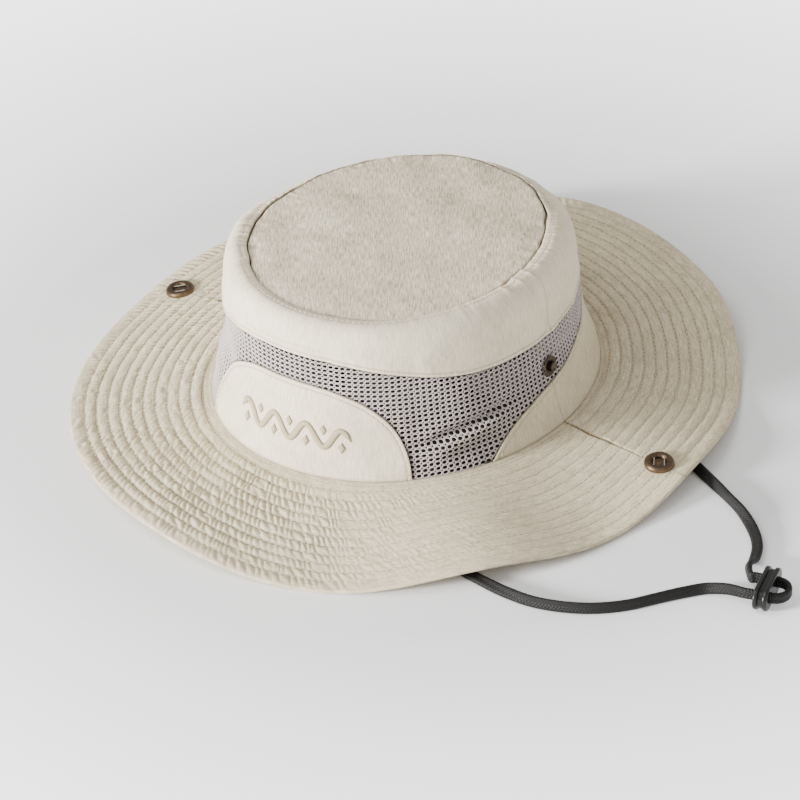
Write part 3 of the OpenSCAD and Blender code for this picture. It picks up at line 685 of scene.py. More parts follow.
# ------------------------------------------------------------------ floor and light
WORLD_POWER = 0.70
LAMPS = [("key", (-0.82, -1.60, 0.42), (0.36, 0.30), 106.0), ("fill", (1.2, -1.0, 0.9), (1.0, 1.0), 1.5), ("top", (-0.5, -0.7, 1.3), (0.8, 0.8), 10.0)]


def floor():
    me = bpy.data.meshes.new("floor"); r = 4.0
    me.from_pydata([(-r, -r, 0), (r, -r, 0), (r, r, 0), (-r, r, 0)], [], [(0, 1, 2, 3)])
    ob = bpy.data.objects.new("floor", me); SC.collection.objects.link(ob)
    m = Nodes("glowing_floor")
    m.bsdf.inputs["Base Color"].default_value = (0.93, 0.93, 0.93, 1)
    m.bsdf.inputs["Roughness"].default_value = 0.9
    m.bsdf.inputs["Specular IOR Level"].default_value = 0.0
    # Painted light: the floor glows white, not at all near the hat and up to strength 1.9 beyond about 0.46 m,
    # brightening the backdrop and lighting the hat from below.
    m.bsdf.inputs["Emission Color"].default_value = (1, 1, 1, 1)
    pos = m.n("ShaderNodeTexCoord").outputs["Object"]
    far = m.n("ShaderNodeVectorMath", operation="LENGTH"); m.link(pos, far.inputs[0])
    m.put(m.bsdf.inputs["Emission Strength"], m.math("MULTIPLY", m.ramp(far.outputs["Value"], 0.20, 0.46), 1.9))
    me.materials.append(m.mat)
    return ob


floor()
world = bpy.data.worlds.new("studio"); SC.world = world; world.use_nodes = True
world.node_tree.nodes["Background"].inputs[0].default_value = (1.0, 0.995, 0.985, 1)
world.node_tree.nodes["Background"].inputs[1].default_value = WORLD_POWER


def lamp(name, where, size, power, colour=(1, 1, 1), target=(0, 0, 0.04)):
    d = bpy.data.lights.new(name, "AREA"); d.shape = "RECTANGLE"; d.size, d.size_y = size
    d.energy = power; d.color = colour
    ob = bpy.data.objects.new(name, d); SC.collection.objects.link(ob)
    w = Vector(where); ob.location = w
    ob.rotation_euler = (Vector(target) - w).to_track_quat("-Z", "Y").to_euler()
    return ob


for _n, _w, _s, _p in LAMPS:
    lamp(_n, _w, _s, _p)


# ------------------------------------------------------------------ brim
def brim_point(t, e, h):
    """Point of the brim: angle, distance in from the edge, height off its middle surface."""
    u = 1 - e / wide(t)
    return brim_base(t, u) + brim_n(t, u) * np.asarray(h)[..., None]


def row_wobble(t, q):
    return 0.22 * noise(t / 2.6, q * 0.31, 61, 0) * smooth(0.15, 0.9, q) * smooth(10, 9.2, q)


def brim_rows(fine):
    """Distances in from the edge as row numbers, then the share of the way from the last row to the foot."""
    edge = [0, 0.05, 0.18, 0.42, 0.8, 1.3, 2.0, 2.8, 3.7, 4.6, 5.5, 6.3, 6.9, 7.25] if fine else [0, 0.05, 0.18, 0.42, 0.8, 1.4, 2.6, 4.2, 5.8, 6.9]
    f = (0, 0.05, 0.13, 0.26, 0.42, 0.58, 0.74, 0.87, 0.95) if fine else (0, 0.10, 0.32, 0.68, 0.90)
    q = [(e - EDGE) / PITCH for e in edge] + [k + x for k in range(10) for x in f] + [10.0]
    s = [0.07, 0.16, 0.27, 0.38, 0.5, 0.6, 0.7, 0.8, 0.88, 0.95, 1.0] if fine else [0.2, 0.5, 0.8, 1.0]
    return np.array(q), np.array(s)


def brim_side(T, top, fine):
    q, s = brim_rows(fine)
    w = wide(T)[:, None]
    E = np.broadcast_to(EDGE + PITCH * q, (len(T), len(q)))
    e10 = EDGE + 10 * PITCH
    E = np.concatenate([E, e10 + (w - e10) * s, w + np.array([1.2, 2.5])], 1)
    Q = (E - EDGE) / PITCH
    TT = np.broadcast_to(T[:, None], E.shape)
    cap = np.sqrt(np.clip(1 - (1 - np.clip(E / 1.15, 0, 1)) ** 2, 0, 1))
    rel = brim_relief(TT, Q, top)
    rel = np.where(E > w, 0.0, rel * smooth(-0.01, 0.5, w - E))
    sign = 1 if top else -1
    E2 = E + row_wobble(TT, Q) * (1 if top else 0.5)
    P = brim_point(TT, E2, sign * (1.1 + rel) * cap)
    r = (104 + 0.875 * (w - E))
    X = rad(TT) * r; X = X - rad(T)[:, None] * 0
    near = np.abs(Q - np.round(Q)) * PITCH
    # Painted shade (crease attribute): darker in the stitch grooves, in the low parts of the quilting, along the side
    # seams and at the brim's foot; the underside gets less of it.
    c = 0.85 * bell(near, 0.42) * (Q > -0.02) * (Q < 10.02) * np.clip(table_smooth(PUCK_A, QUIL, (TT + 58) % 360 - 58), 0.25, 1)
    c = c + 0.55 * np.clip(-rel - 0.16, 0, 0.5)
    for a in (SEAM_L, SEAM_R):
        d = np.abs(rad(turn(TT, a))) * r
        c = c + 0.5 * bell(d, 0.5) + 0.8 * bell(d, 1.0) * smooth(0.5, 0.36, 1 - E / w) * (1 if a == SEAM_L else 0.6)
    c = c + 0.45 * bell(w - E, 0.9) + 0.35 * bell(w - E - 2.2, 0.4)
    return P, np.stack([X, E], -1), np.clip(c, 0, 1)


def brim_piece(name, t0, t1, replaces):
    T = [t0]
    for a in (-360, 0, 360):
        for m in (SEAM_L, SEAM_R):
            T += [m + a + x for x in (-0.9, -0.6, -0.4, -0.25, -0.15, -0.07, 0, 0.07, 0.15, 0.25, 0.4, 0.6, 0.9)]
    n = 760
    T += list(np.linspace(t0, t1, n))
    T = np.unique(np.round([x for x in T if t0 <= x <= t1], 4))
    keep = [T[0]]
    for x in T[1:]:
        if x - keep[-1] > 0.045:
            keep.append(x)
    keep[-1] = t1
    T = np.array(keep)
    P1, U1, C1 = brim_side(T, True, True)
    P2, U2, C2 = brim_side(T, False, False)
    # one closed loop of rows: lip to edge underneath, then edge to lip on top
    P = np.concatenate([P2[:, :0:-1], P1], 1); U = np.concatenate([U2[:, :0:-1], U1], 1); C = np.concatenate([C2[:, :0:-1] * 0.6, C1], 1)
    ni, nj = P.shape[:2]
    faces = [grid_faces(ni, nj, wrap_j=True, flip=True), np.arange(nj), ((ni - 1) * nj + np.arange(nj))[::-1]]
    ob = make(name, P, faces, uv=U, attrs={"crease_shade": C})
    fix_normals(ob)
    nf = len(ob.data.polygons)
    sharp_caps(ob, [nf - 2, nf - 1])
    paint(ob, M_BRIM, None, replaces)
    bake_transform(ob)
    return ob


def fix_normals(ob):
    """Turns the faces outwards if the whole closed mesh is inside out."""
    me = ob.data
    v = np.zeros(len(me.vertices) * 3, np.float32); me.vertices.foreach_get("co", v); v = v.reshape(-1, 3).astype(float)
    me.calc_loop_triangles()
    tr = np.zeros(len(me.loop_triangles) * 3, np.int32); me.loop_triangles.foreach_get("vertices", tr); tr = tr.reshape(-1, 3)
    a, b, c = v[tr[:, 0]], v[tr[:, 1]], v[tr[:, 2]]
    if np.einsum("ij,ij->i", a, np.cross(b, c)).sum() < 0:
        me.flip_normals()


def stitches(pts, nrm, size=2.5, space=0.65, r=0.16, rise=0.10, skip=None):
    """Running stitches along a line of points: returns points and faces of small bent tubes."""
    pts = np.asarray(pts, float); nrm = np.asarray(nrm, float)
    s = np.concatenate([[0], np.cumsum(np.linalg.norm(np.diff(pts, axis=0), axis=1))])
    n = int(s[-1] // (size + space))
    if n < 1:
        return np.zeros((0, 3)), np.zeros((0, 4), int)
    start = np.arange(n) * (s[-1] / n)
    f = np.array([0, 0.18, 0.5, 0.82, 1.0]); h = np.array([-0.75, 0.55, 1, 0.55, -0.75])
    at = start[:, None] + f * size
    p = np.stack([np.interp(at, s, pts[:, k]) for k in range(3)], -1)
    m = np.stack([np.interp(at, s, nrm[:, k]) for k in range(3)], -1)
    m /= np.linalg.norm(m, axis=-1, keepdims=True)
    if skip is not None:
        ok = ~skip(p[:, 2])
        p, m = p[ok], m[ok]
    n = len(p)
    tan = np.gradient(p, axis=1); tan /= np.linalg.norm(tan, axis=-1, keepdims=True)
    b = np.cross(m, tan)
    k = 6; ang = np.arange(k) * 2 * np.pi / k
    rr = r * np.array([0.6, 1, 1.05, 1, 0.6])
    c = p + m * (rise * h)[None, :, None]
    ring = c[:, :, None, :] + (b[:, :, None, :] * np.cos(ang)[:, None] + m[:, :, None, :] * np.sin(ang)[:, None]) * rr[None, :, None, None]
    one = grid_faces(5, k, wrap_j=True)
    faces = (one[None] + (np.arange(n) * 5 * k)[:, None, None]).reshape(-1, 4)
    return ring.reshape(-1, 3), faces


def thread_piece(name, parts, body=None, mat=None, blend=None):
    P = []; F = []; base = 0
    for p, f in parts:
        if len(p):
            P.append(p); F.append(f + base); base += len(p)
    P = np.concatenate(P); F = np.concatenate(F)
    ob = make(name, P, F, uv=P[:, :2])
    paint(ob, mat or M_THREAD, body)
    if blend:
        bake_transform(ob)
    return ob


def brim_threads(name, t0, t1, blend):
    parts = []
    for k in range(11):
        for top in (True, False):
            T = np.arange(t0 + 0.08, t1, 0.16)
            q = np.full(len(T), float(k))
            e = EDGE + PITCH * q
            rel = brim_relief(T, q, top)
            e2 = e + row_wobble(T, q) * (1 if top else 0.5)
            sign = 1 if top else -1
            p = brim_point(T, e2, sign * (1.1 + rel + 0.10))
            nn = brim_n(T, 1 - e2 / wide(T)) * sign
            bad = snap_far(T, 1 - e2 / wide(T)) < 7.6
            # runs of the row that stay clear of the snaps
            idx = np.where(~bad)[0]
            for run in np.split(idx, np.where(np.diff(idx) > 1)[0] + 1):
                if len(run) > 20:
                    parts.append(stitches(p[run], nn[run]))
    # the row that holds the brim to the crown's seam
    T = np.arange(t0 + 0.08, t1, 0.16)
    e = wide(T) - 2.2
    p = brim_point(T, e, 1.1 + brim_relief(T, (e - EDGE) / PITCH, True) + 0.10)
    parts.append(stitches(p, brim_n(T, 1 - e / wide(T))))
    return thread_piece(name, parts, blend=blend)


L_BL = ("hat", "left_flap", (0.097, 0, 0.0138), (0.113, 0, 0.0138))
R_BL = ("hat", "right_flap", (-0.097, 0, 0.0138), (-0.113, 0, 0.0138))
brim_l = brim_piece("brim_left_half", -90, 90,
                    ["brim_top_front", "brim_under_front", "brim_interlining", "left_flap_top_front", "left_flap_top_back",
                     "left_flap_under_front", "left_flap_under_back", "left_flap_interlining"])
brim_r = brim_piece("brim_right_half", 90, 270,
                    ["brim_top_back", "brim_under_back", "right_flap_top_front", "right_flap_top_back",
                     "right_flap_under_front", "right_flap_under_back", "right_flap_interlining"])
brim_threads("brim_left_stitching", -90, 90, L_BL)
brim_threads("brim_right_stitching", 90, 270, R_BL)

# ------------------------------------------------------------------ crown
_tt = np.linspace(-180, 720, 9001)
_arc = np.concatenate([[0], np.cumsum(np.hypot(BW * np.sin(rad(_tt[1:])), BL * np.cos(rad(_tt[1:]))) * rad(_tt[1] - _tt[0]))])
_arc -= np.interp(270, _tt, _arc)


def arc(t):
    """Distance around the crown from the front, halfway up, in millimetres."""
    return np.interp(t, _tt, _arc) * 0.905


def proud(d, low, high, r=0.55, stitch=None, depth=0.22, puff=0.18):
    """Height of a folded and topstitched edge: d is the distance in from the edge."""
    x = np.clip(d / r, 0, 1)
    out = low + (high - low) * np.sqrt(np.clip(1 - (1 - x) ** 2, 0, 1))
    if stitch is not None:
        out = out + puff * bell(d - stitch * 0.45, stitch * 0.42) - depth * bell(d - stitch, 0.32) + 0.6 * puff * bell(d - stitch * 1.9, stitch * 0.8)
    return out


def wall_sheet(name, T, H, out, mat, replaces, crease_shade=None, wrap=False, inner=-0.95):
    """A closed cloth panel on the crown's wall from a grid of angles, heights and outer offsets."""
    V = H / 79.3
    P1 = crown_p(T, V, out)
    P2 = crown_p(T, V, np.minimum(inner, out - 0.3))
    ni, nj = T.shape
    P = np.stack([P1, P2], 0).reshape(-1, 3)
    F = [grid_faces(ni, nj, wrap_i=wrap), grid_faces(ni, nj, wrap_i=wrap, base=ni * nj, flip=True)]
    i = np.arange(ni if wrap else ni - 1); i2 = (i + 1) % ni
    o = ni * nj
    for j, fl in ((0, False), (nj - 1, True)):
        f = np.stack([i * nj + j, o + i * nj + j, o + i2 * nj + j, i2 * nj + j], -1)
        F.append(f[:, ::-1] if fl else f)
    if not wrap:
        j = np.arange(nj - 1)
        for k, fl in ((0, True), (ni - 1, False)):
            f = np.stack([k * nj + j, o + k * nj + j, o + k * nj + j + 1, k * nj + j + 1], -1)
            F.append(f[:, ::-1] if fl else f)
    uv = np.stack([arc(T), H], -1); uv = np.stack([uv, uv], 0)
    # The crease values become painted shade; the inner layer is flagged inside, which the cloth material paints nearly
    # black as shade.
    C = np.zeros_like(T) if crease_shade is None else np.clip(crease_shade, 0, 1)
    ob = make(name, P, np.concatenate(F), uv=uv, attrs={"crease_shade": np.stack([C, C * 0], 0), "inside": np.stack([C * 0, C * 0 + 1], 0)})
    fix_normals(ob)
    paint(ob, mat, "hat", replaces)
    return ob


def slope_k(f, T):
    g = (f(T + 0.2) - f(T - 0.2)) / 0.4 / 1.55
    return 1 / np.sqrt(1 + g * g)


def fine_cloth(T, H, amp=0.06):
    """Tiny unevenness of sewn cotton."""
    return amp * noise(arc(T) / 2.6, H / 3.1, 71) + amp * 0.9 * noise(arc(T) / 6, H / 7, 72)


# upper band: from its folded lower edge over the shoulder into the tip seam
T1 = np.linspace(0, 360, 1201)[:-1]
D_ROWS = [0, 0.04, 0.14, 0.3, 0.55, 0.9, 1.3, 1.65, 1.85, 2.0, 2.15, 2.35, 2.8, 3.4, 4.2, 5.2]
SH = np.array([0.80, 0.82, 0.84, 0.86, 0.88, 0.895, 0.91, 0.922, 0.934, 0.944, 0.953, 0.961, 0.968, 0.974, 0.979, 0.983, 0.987, 0.991, 0.9945, 0.9975, 1.0,
               1.0035, 1.008, 1.014, 1.022, 1.032, 1.042])
k1 = slope_k(band_low, T1)
lowd = band_low(T1)[:, None] + np.array(D_ROWS) / k1[:, None]
mid0 = lowd[:, -1:]
mid = mid0 + (0.80 * 79.3 - mid0) * np.linspace(0, 1, 12)[1:-1]
H1 = np.concatenate([lowd, mid, np.broadcast_to(SH * 79.3, (len(T1), len(SH)))], 1)
H1 = np.maximum.accumulate(H1, axis=1)
TT1 = np.broadcast_to(T1[:, None], H1.shape)
d1 = (H1 - band_low(T1)[:, None]) * k1[:, None]
out1 = proud(d1, -0.15, 0.55, 0.38, 2.0, depth=0.16, puff=0.10)
back = smooth(25, 75, np.abs(turn(TT1, 285)))
seam_gather = noise(arc(TT1) / 2.3, 0 * H1, 75) * 0.28 + noise(arc(TT1) / 5.1, 0 * H1 + 4, 76) * 0.30
out1 = out1 + fine_cloth(TT1, H1) + seam_gather * back * smooth(0.90, 0.985, H1 / 79.3) * smooth(1.03, 1.0, H1 / 79.3)
out1 = out1 - 0.20 * bell((H1 / 79.3 - 0.9815) * 140, 0.35) + 0.12 * bell((H1 / 79.3 - 0.992) * 140, 0.9)
sk = smooth(1.0, 1.018, H1 / 79.3)
# Painted shade (crease attribute): darker along the stitch groove, in the ditch of the tip seam and on the seam
# allowance that dives into it, more so at the back.
band_shade = 0.45 * bell(d1 - 2.0, 0.35) + 0.30 * bell((H1 / 79.3 - 0.9815) * 140, 0.4) + sk * (0.55 + 0.45 * back)
# the side seams of the band
for a in (SEAM_L + 3, SEAM_R - 3):
    dd = np.abs(rad(turn(TT1, a))) * 90
    out1 = out1 - 0.28 * bell(dd, 0.4) * (H1 / 79.3 < 1.0) + 0.10 * bell(dd, 3)
    # painted shade along the side seam
    band_shade = band_shade + 0.35 * bell(dd, 0.5)
band = wall_sheet("crown_side_band", TT1, H1, out1, M_BAND, ["upper_side_band"], band_shade, wrap=True)

# front panel
p = np.linspace(-1, 1, 301)
X = np.sin(np.pi / 2 * p); X = np.sign(X) * np.abs(X) ** 1.0
T2 = 270 + 39.0 * X
cs = np.linspace(-1, 1, 1601); ct_ = 270 + 39.0 * np.sin(np.pi / 2 * cs)
curve = np.stack([arc(ct_), panel_top(ct_)], -1)
f = np.linspace(0, 1, 120); f = 1 - (1 - f) ** 1.5
H2 = panel_top(T2)[:, None] * f[None, :]
H2[:, 0] = np.minimum(0.3, H2[:, 1] * 0.5) * 0
TT2 = np.broadcast_to(T2[:, None], H2.shape)
pts2 = np.stack([arc(TT2), H2], -1).reshape(-1, 2)
d2 = np.full(len(pts2), 1e9)
for k in range(0, len(curve), 200):
    c = curve[k:k + 200]
    d2 = np.minimum(d2, np.sqrt(((pts2[:, None, :] - c[None]) ** 2).sum(-1)).min(1))
d2 = d2.reshape(H2.shape)
out2 = proud(d2, -0.25, 0.62, 0.38, 2.1, depth=0.16, puff=0.10) + 0.45 * smooth(2, 16, d2) + fine_cloth(TT2, H2, 0.05)
out2 = out2 - 0.30 * bell(H2 - 1.6, 1.2)
# Painted shade (crease attribute): darker along the stitch groove and at the panel's foot by the brim.
front_shade = 0.50 * bell(d2 - 2.1, 0.35) + 0.5 * bell(H2, 0.8)
front = wall_sheet("front_panel_cloth", TT2, H2, out2, M_BAND, ["front_panel"], front_shade)

# rear panel
T3 = np.concatenate([np.linspace(333, 360, 60)[:-1], np.linspace(360, 540, 520)[:-1], np.linspace(540, 567, 60)])
k3 = slope_k(rear_top, T3)
top3 = rear_top(T3)
f = np.linspace(0, 1, 60); f = 1 - (1 - f) ** 1.6
H3 = top3[:, None] * f[None, :]
TT3 = np.broadcast_to(T3[:, None], H3.shape)
d3 = (top3[:, None] - H3) * k3[:, None]
away3 = away(TT3)
d3 = np.where(away3 < 143, d3, 30.0)
out3 = np.where(away3 < 143, proud(d3, -0.25, 0.42, 0.36, 2.0, depth=0.15, puff=0.10), 0.25) + fine_cloth(TT3, H3)
out3 = out3 - 0.25 * bell(H3 - 1.6, 1.2)
out3 = out3 * smooth(0, 1.5, H3 + 1.0)
# Painted shade (crease attribute): darker along the stitch groove and at the panel's foot by the brim.
rear_shade = 0.45 * bell(d3 - 2.0, 0.35) + 0.5 * bell(H3, 0.8)
for a in (SEAM_L, SEAM_R):
    dd = np.abs(rad(turn(TT3, a))) * 100
    out3 = out3 - 0.25 * bell(dd, 0.45) + 0.15 * bell(dd, 3.5)
    # painted shade along the side seam
    rear_shade = rear_shade + 0.4 * bell(dd, 0.5)
rear = wall_sheet("rear_panel_cloth", TT3, H3, out3, M_REAR, ["rear_panel"], rear_shade)


# mesh with real holes
def mesh_cloth():
    pw, ph = 2.95, 2.40
    a0, a1 = arc(126.0), arc(414.0)
    ci = np.arange(math.floor(a0 / pw), math.ceil(a1 / pw)); cj = np.arange(0, 26)
    I, J = np.meshgrid(ci, cj, indexing="ij")
    cx, cy = (I + 0.5) * pw, (J + 0.5) * ph
    tc = np.interp(cx, _arc * 0.905, _tt)
    a = away(tc)
    lo = np.where(a <= 39, panel_top(tc), np.where(a >= 63, rear_top(tc), -9.0))
    # the panels' slopes are steep, so a cell is kept if any of its own width is free
    lo2 = lo.copy()
    for dx in (-2.2, 2.2):
        t2 = np.interp(cx + dx, _arc * 0.905, _tt); a2 = away(t2)
        lo2 = np.minimum(lo2, np.where(a2 <= 39, panel_top(t2), np.where(a2 >= 63, rear_top(t2), -9.0)))
    keep = (cy > lo2 - 2.6) & (cy < band_low(tc) + 1.9) & (a < 145)
    cx, cy = cx[keep], cy[keep]
    hw, hh, rs = pw / 2, ph / 2, 0.40
    q = []
    for sx, sy, order in ((1, 1, 1), (-1, 1, -1), (-1, -1, 1), (1, -1, -1)):
        arcp = [(hw - rs * math.sin(x), hh - rs * math.cos(x)) for x in (math.pi / 2, math.pi / 4, 0)]
        arcp = [(hw, hh - rs), (hw - rs * 0.7071, hh - rs * 0.7071), (hw - rs, hh)]
        if order < 0:
            arcp = arcp[::-1]
        mids = [(hw, 0.0)] if order > 0 else [(0.0, hh)]
        q += [(sx * x, sy * y) for x, y in mids + arcp]
    outer = np.array(q)
    ang = np.arctan2(outer[:, 1] * 1.05, outer[:, 0])
    big = np.stack([1.08 * np.cos(ang), 0.80 * np.sin(ang)], -1)
    mid = big + (outer - big) * 0.48
    lay = [(big * 1.0, -0.62), (big * 0.985, -0.36), (big + (outer - big) * 0.14, -0.12), (mid, 0.02), (outer, -0.16), (outer, -0.62)]
    n = len(outer); m = len(lay)
    jit = lambda x, y, k: 0.10 * noise(x / 1.7, y / 1.7, k)
    px = np.stack([cx[:, None] + l[0][:, 0] for l in lay], 1)      # cells, layers, points
    py = np.stack([cy[:, None] + l[0][:, 1] for l in lay], 1)
    off = np.broadcast_to(np.array([l[1] for l in lay])[None, :, None], px.shape)
    lid = np.broadcast_to(np.arange(m)[None, :, None], px.shape)
    key = np.stack([np.round(px * 200), np.round(py * 200), np.where(lid >= 4, lid, 0)], -1).reshape(-1, 3).astype(np.int64)
    key[:, 2] += 0
    own = (lid < 4).reshape(-1)
    key[own, 2] = -1 - np.arange(own.sum())
    uq, first, inv = np.unique(key, axis=0, return_index=True, return_inverse=True)
    inv = inv.reshape(px.shape)
    X, Y, O = px.reshape(-1)[first], py.reshape(-1)[first], off.reshape(-1)[first]
    X2 = X + jit(X, Y, 81); Y2 = Y + jit(X + 40, Y, 82)
    Tm = np.interp(X2, _arc * 0.905, _tt)
    hv = np.maximum(Y2, -0.6)
    P = crown_p(Tm, hv / 79.3, O - 0.10 + 0.05 * noise(X / 1.3, Y / 1.2, 83))
    F = []
    nx = np.roll(np.arange(n), -1)
    for l in range(m - 1):
        F.append(np.stack([inv[:, l, :], inv[:, l + 1, :], inv[:, l + 1, :][:, nx], inv[:, l, :][:, nx]], -1).reshape(-1, 4))
    F.append(np.stack([inv[:, m - 1, :], inv[:, 0, :], inv[:, 0, :][:, nx], inv[:, m - 1, :][:, nx]], -1).reshape(-1, 4))
    F = np.concatenate(F)
    # the walls between two cells, on the straight parts of their outlines, would be inside the cloth
    keyf = np.sort(F, 1)
    u, ix, cnt = np.unique(keyf, axis=0, return_index=True, return_counts=True)
    F = F[np.sort(ix[cnt == 1])]
    # painted shade: darker where the panels' folded edges lie over the mesh
    near = np.abs(band_low(Tm) - Y) * slope_k(band_low, Tm)
    am = away(Tm)
    near = np.minimum(near, np.where(am >= 60, np.abs(Y - rear_top(Tm)) * slope_k(rear_top, Tm), 9))
    XY = np.stack([arc(Tm), Y], -1)
    for k in range(0, len(curve), 100):
        near = np.minimum(near, np.sqrt(((XY[:, None, :] - curve[None, k:k + 100:4]) ** 2).sum(-1)).min(1))
    C = np.clip(1.15 - near / 1.15, 0, 1)
    # The yarn's back layers are flagged inside, so the cloth material paints them nearly black as the shade seen
    # through the holes.
    ob = make("side_mesh_cloth", P, F, uv=np.stack([X, Y], -1), attrs={"crease_shade": C, "inside": (O < -0.5) * 1.0})
    paint(ob, M_MESH, "hat", ["mesh_band"])
    return ob, len(cx)


mesh_ob, n_cells = mesh_cloth()


# tip panel
def tip_panel():
    T = np.linspace(0, 360, 901)[:-1]
    back = smooth(25, 75, np.abs(turn(T, 285)))
    gap_w = 0.10 + back * (0.30 + 0.65 * np.clip(noise(T / 360 * 46, 0 * T, 91, 46), 0, 1))
    m_edge = np.array([0, 0.05, 0.16, 0.34, 0.6, 0.95, 1.4, 2.0, 2.8, 3.8, 5.2, 7, 9.5, 13])
    inner = np.linspace(0, 1, 34)[1:-1]
    W = tip_wave(T)
    rows = []
    for d in m_edge:
        rows.append((gap_w + 0.15 + d))
    D = np.stack(rows, 1)                                  # distance in from the seam line
    x0, y0 = 68.0, 81.0
    nx, ny = ring_n(T)
    ex = x0 * np.cos(rad(T)); ey = y0 * np.sin(rad(T))
    Xe = ex[:, None] + nx[:, None] * (W[:, None] * np.exp(-D / 6) - D)
    Ye = ey[:, None] + ny[:, None] * (W[:, None] * np.exp(-D / 6) - D)
    Xi = Xe[:, -1:] * (1 - inner); Yi = Ye[:, -1:] * (1 - inner)
    X = np.concatenate([Xe, Xi], 1); Y = np.concatenate([Ye, Yi], 1)
    Din = np.concatenate([D, np.full_like(Xi, 30) ], 1)
    rho = np.hypot(X / x0, Y / y0)
    dd = (Din - gap_w[:, None] - 0.15)
    rr = 0.9
    drop = 1.9 * (1 - np.sqrt(np.clip(1 - (1 - np.clip(dd / rr, 0, 1)) ** 2, 0, 1)))
    Tg = np.broadcast_to(T[:, None], X.shape)
    gather = (noise(arc(Tg) / 2.7, 0 * X, 92) * 0.7 + noise(arc(Tg) / 5.3, 0 * X, 93) * 0.6) * back[:, None] * np.exp(-dd / 5.0)
    dome = 2.2 * (1 - rho ** 2)
    z = BZ + CH + 0.10 + dome - drop + 0.42 * gather * smooth(0.1, 1.2, dd)
    z = z + 0.60 * noise(X / 26, Y / 24, 94) * smooth(1, 12, dd) + 0.28 * noise(X / 9 + 3, Y / 10, 95) * smooth(1, 10, dd) + 0.04 * noise(X / 2.4, Y / 2.6, 96)
    z = z + 0.5 * noise(Tg / 20, 0 * X, 44, 18) * smooth(0.6, 1, rho)
    P1 = np.stack([X - 2, Y - 3, z], -1); P2 = P1 - np.array([0, 0, 0.85])
    ni, nj = X.shape
    c1 = len(T) * nj * 2; 
    Pc = np.array([[-2, -3, z[:, -1].mean() + 0.02], [-2, -3, z[:, -1].mean() - 0.85]])
    P = np.concatenate([P1.reshape(-1, 3), P2.reshape(-1, 3), Pc])
    i = np.arange(ni); i2 = (i + 1) % ni; o = ni * nj
    F1 = grid_faces(ni, nj, wrap_i=True); F2 = grid_faces(ni, nj, wrap_i=True, base=o, flip=True)
    rim = np.stack([i * nj, o + i * nj, o + i2 * nj, i2 * nj], -1)
    tri = np.stack([i * nj + nj - 1, i2 * nj + nj - 1, np.full(ni, c1)], -1)
    tri2 = np.stack([o + i2 * nj + nj - 1, o + i * nj + nj - 1, np.full(ni, c1 + 1)], -1)
    ca, sa = math.cos(math.radians(-34)), math.sin(math.radians(-34))
    U = np.stack([X * ca - Y * sa, X * sa + Y * ca], -1)
    uv = np.concatenate([U.reshape(-1, 2), U.reshape(-1, 2), [[0, 0], [0, 0]]])
    # Painted shade (crease attribute): dark in the seam's ditch round the tip, more at the sides and back, and in the
    # hollows of the gathers.
    C = np.clip(0.9 * np.exp(-dd / 0.55) * (0.45 + 0.55 * back[:, None]) + 0.10 * np.clip(-gather, 0, 1), 0, 1)
    # The tip's lower layer is flagged inside and painted nearly black as shade.
    IN = np.concatenate([C.reshape(-1) * 0, C.reshape(-1) * 0 + 1, [0, 1]])
    C = np.concatenate([C.reshape(-1), C.reshape(-1) * 0, [0, 0]])
    ob = make("crown_tip_cloth", P, [F1, F2, rim, tri[:, ::-1] * 1, tri2[:, ::-1] * 1], uv=uv, attrs={"crease_shade": C, "inside": IN})
    fix_tris(ob)
    paint(ob, M_TIP, "hat", ["crown_top"])
    return ob


def fix_tris(ob):
    """Makes the faces agree with their neighbours and point outwards."""
    import bmesh
    bm = bmesh.new(); bm.from_mesh(ob.data)
    bmesh.ops.recalc_face_normals(bm, faces=bm.faces)
    bm.to_mesh(ob.data); bm.free()
    fix_normals(ob)


tip = tip_panel()
fix_tris(mesh_ob)


# inner pieces
def ring_strip(name, prof, mat, replaces, n=360, closed=True):
    """A closed strip around the crown from a profile of (angle -> point) functions."""
    T = np.linspace(0, 360, n + 1)[:-1]
    P = np.stack([f(T) for f in prof], 1)
    m = len(prof)
    s = np.concatenate([[0], np.cumsum(np.linalg.norm(np.diff(P[0], axis=0), axis=1))])
    uv = np.stack(np.broadcast_arrays(arc(T)[:, None], s[None, :]), -1)
    ob = make(name, P, grid_faces(n, m, wrap_i=True, wrap_j=True), uv=uv)
    fix_tris(ob)
    paint(ob, mat, "hat", replaces)
    return ob


def sweat_profile():
    out = []
    hs = [0.3, 0.8, 1.6, 2.4, 3.0, 3.6] + [4.6 + 1.02 * k for k in range(23)] + [28.2, 28.8, 29.4, 30.2, 30.8, 31]
    def f(h, o):
        return lambda T: crown_p(T, np.full(len(T), h / 79.3), o + 0.05 * noise(T / 3, h / 6 + 0 * T, 98, 120))
    for h in hs:
        e = min(h - 0.3, 31 - h)
        r = math.sqrt(max(0, 1 - (1 - min(1, e / 0.5)) ** 2))
        g = 0.16 * math.exp(-((h - 3.0) / 0.4) ** 2) + 0.16 * math.exp(-((h - 28.8) / 0.4) ** 2)
        out.append(f(h, -2.05 - 0.48 * r + g))
    for h in hs[::-1]:
        e = min(h - 0.3, 31 - h)
        r = math.sqrt(max(0, 1 - (1 - min(1, e / 0.5)) ** 2))
        out.append(f(h, -2.05 + 0.45 * r))
    return out


sweat = ring_strip("sweatband_cloth_loop", sweat_profile(), M_SWEAT, ["sweatband"], n=720)


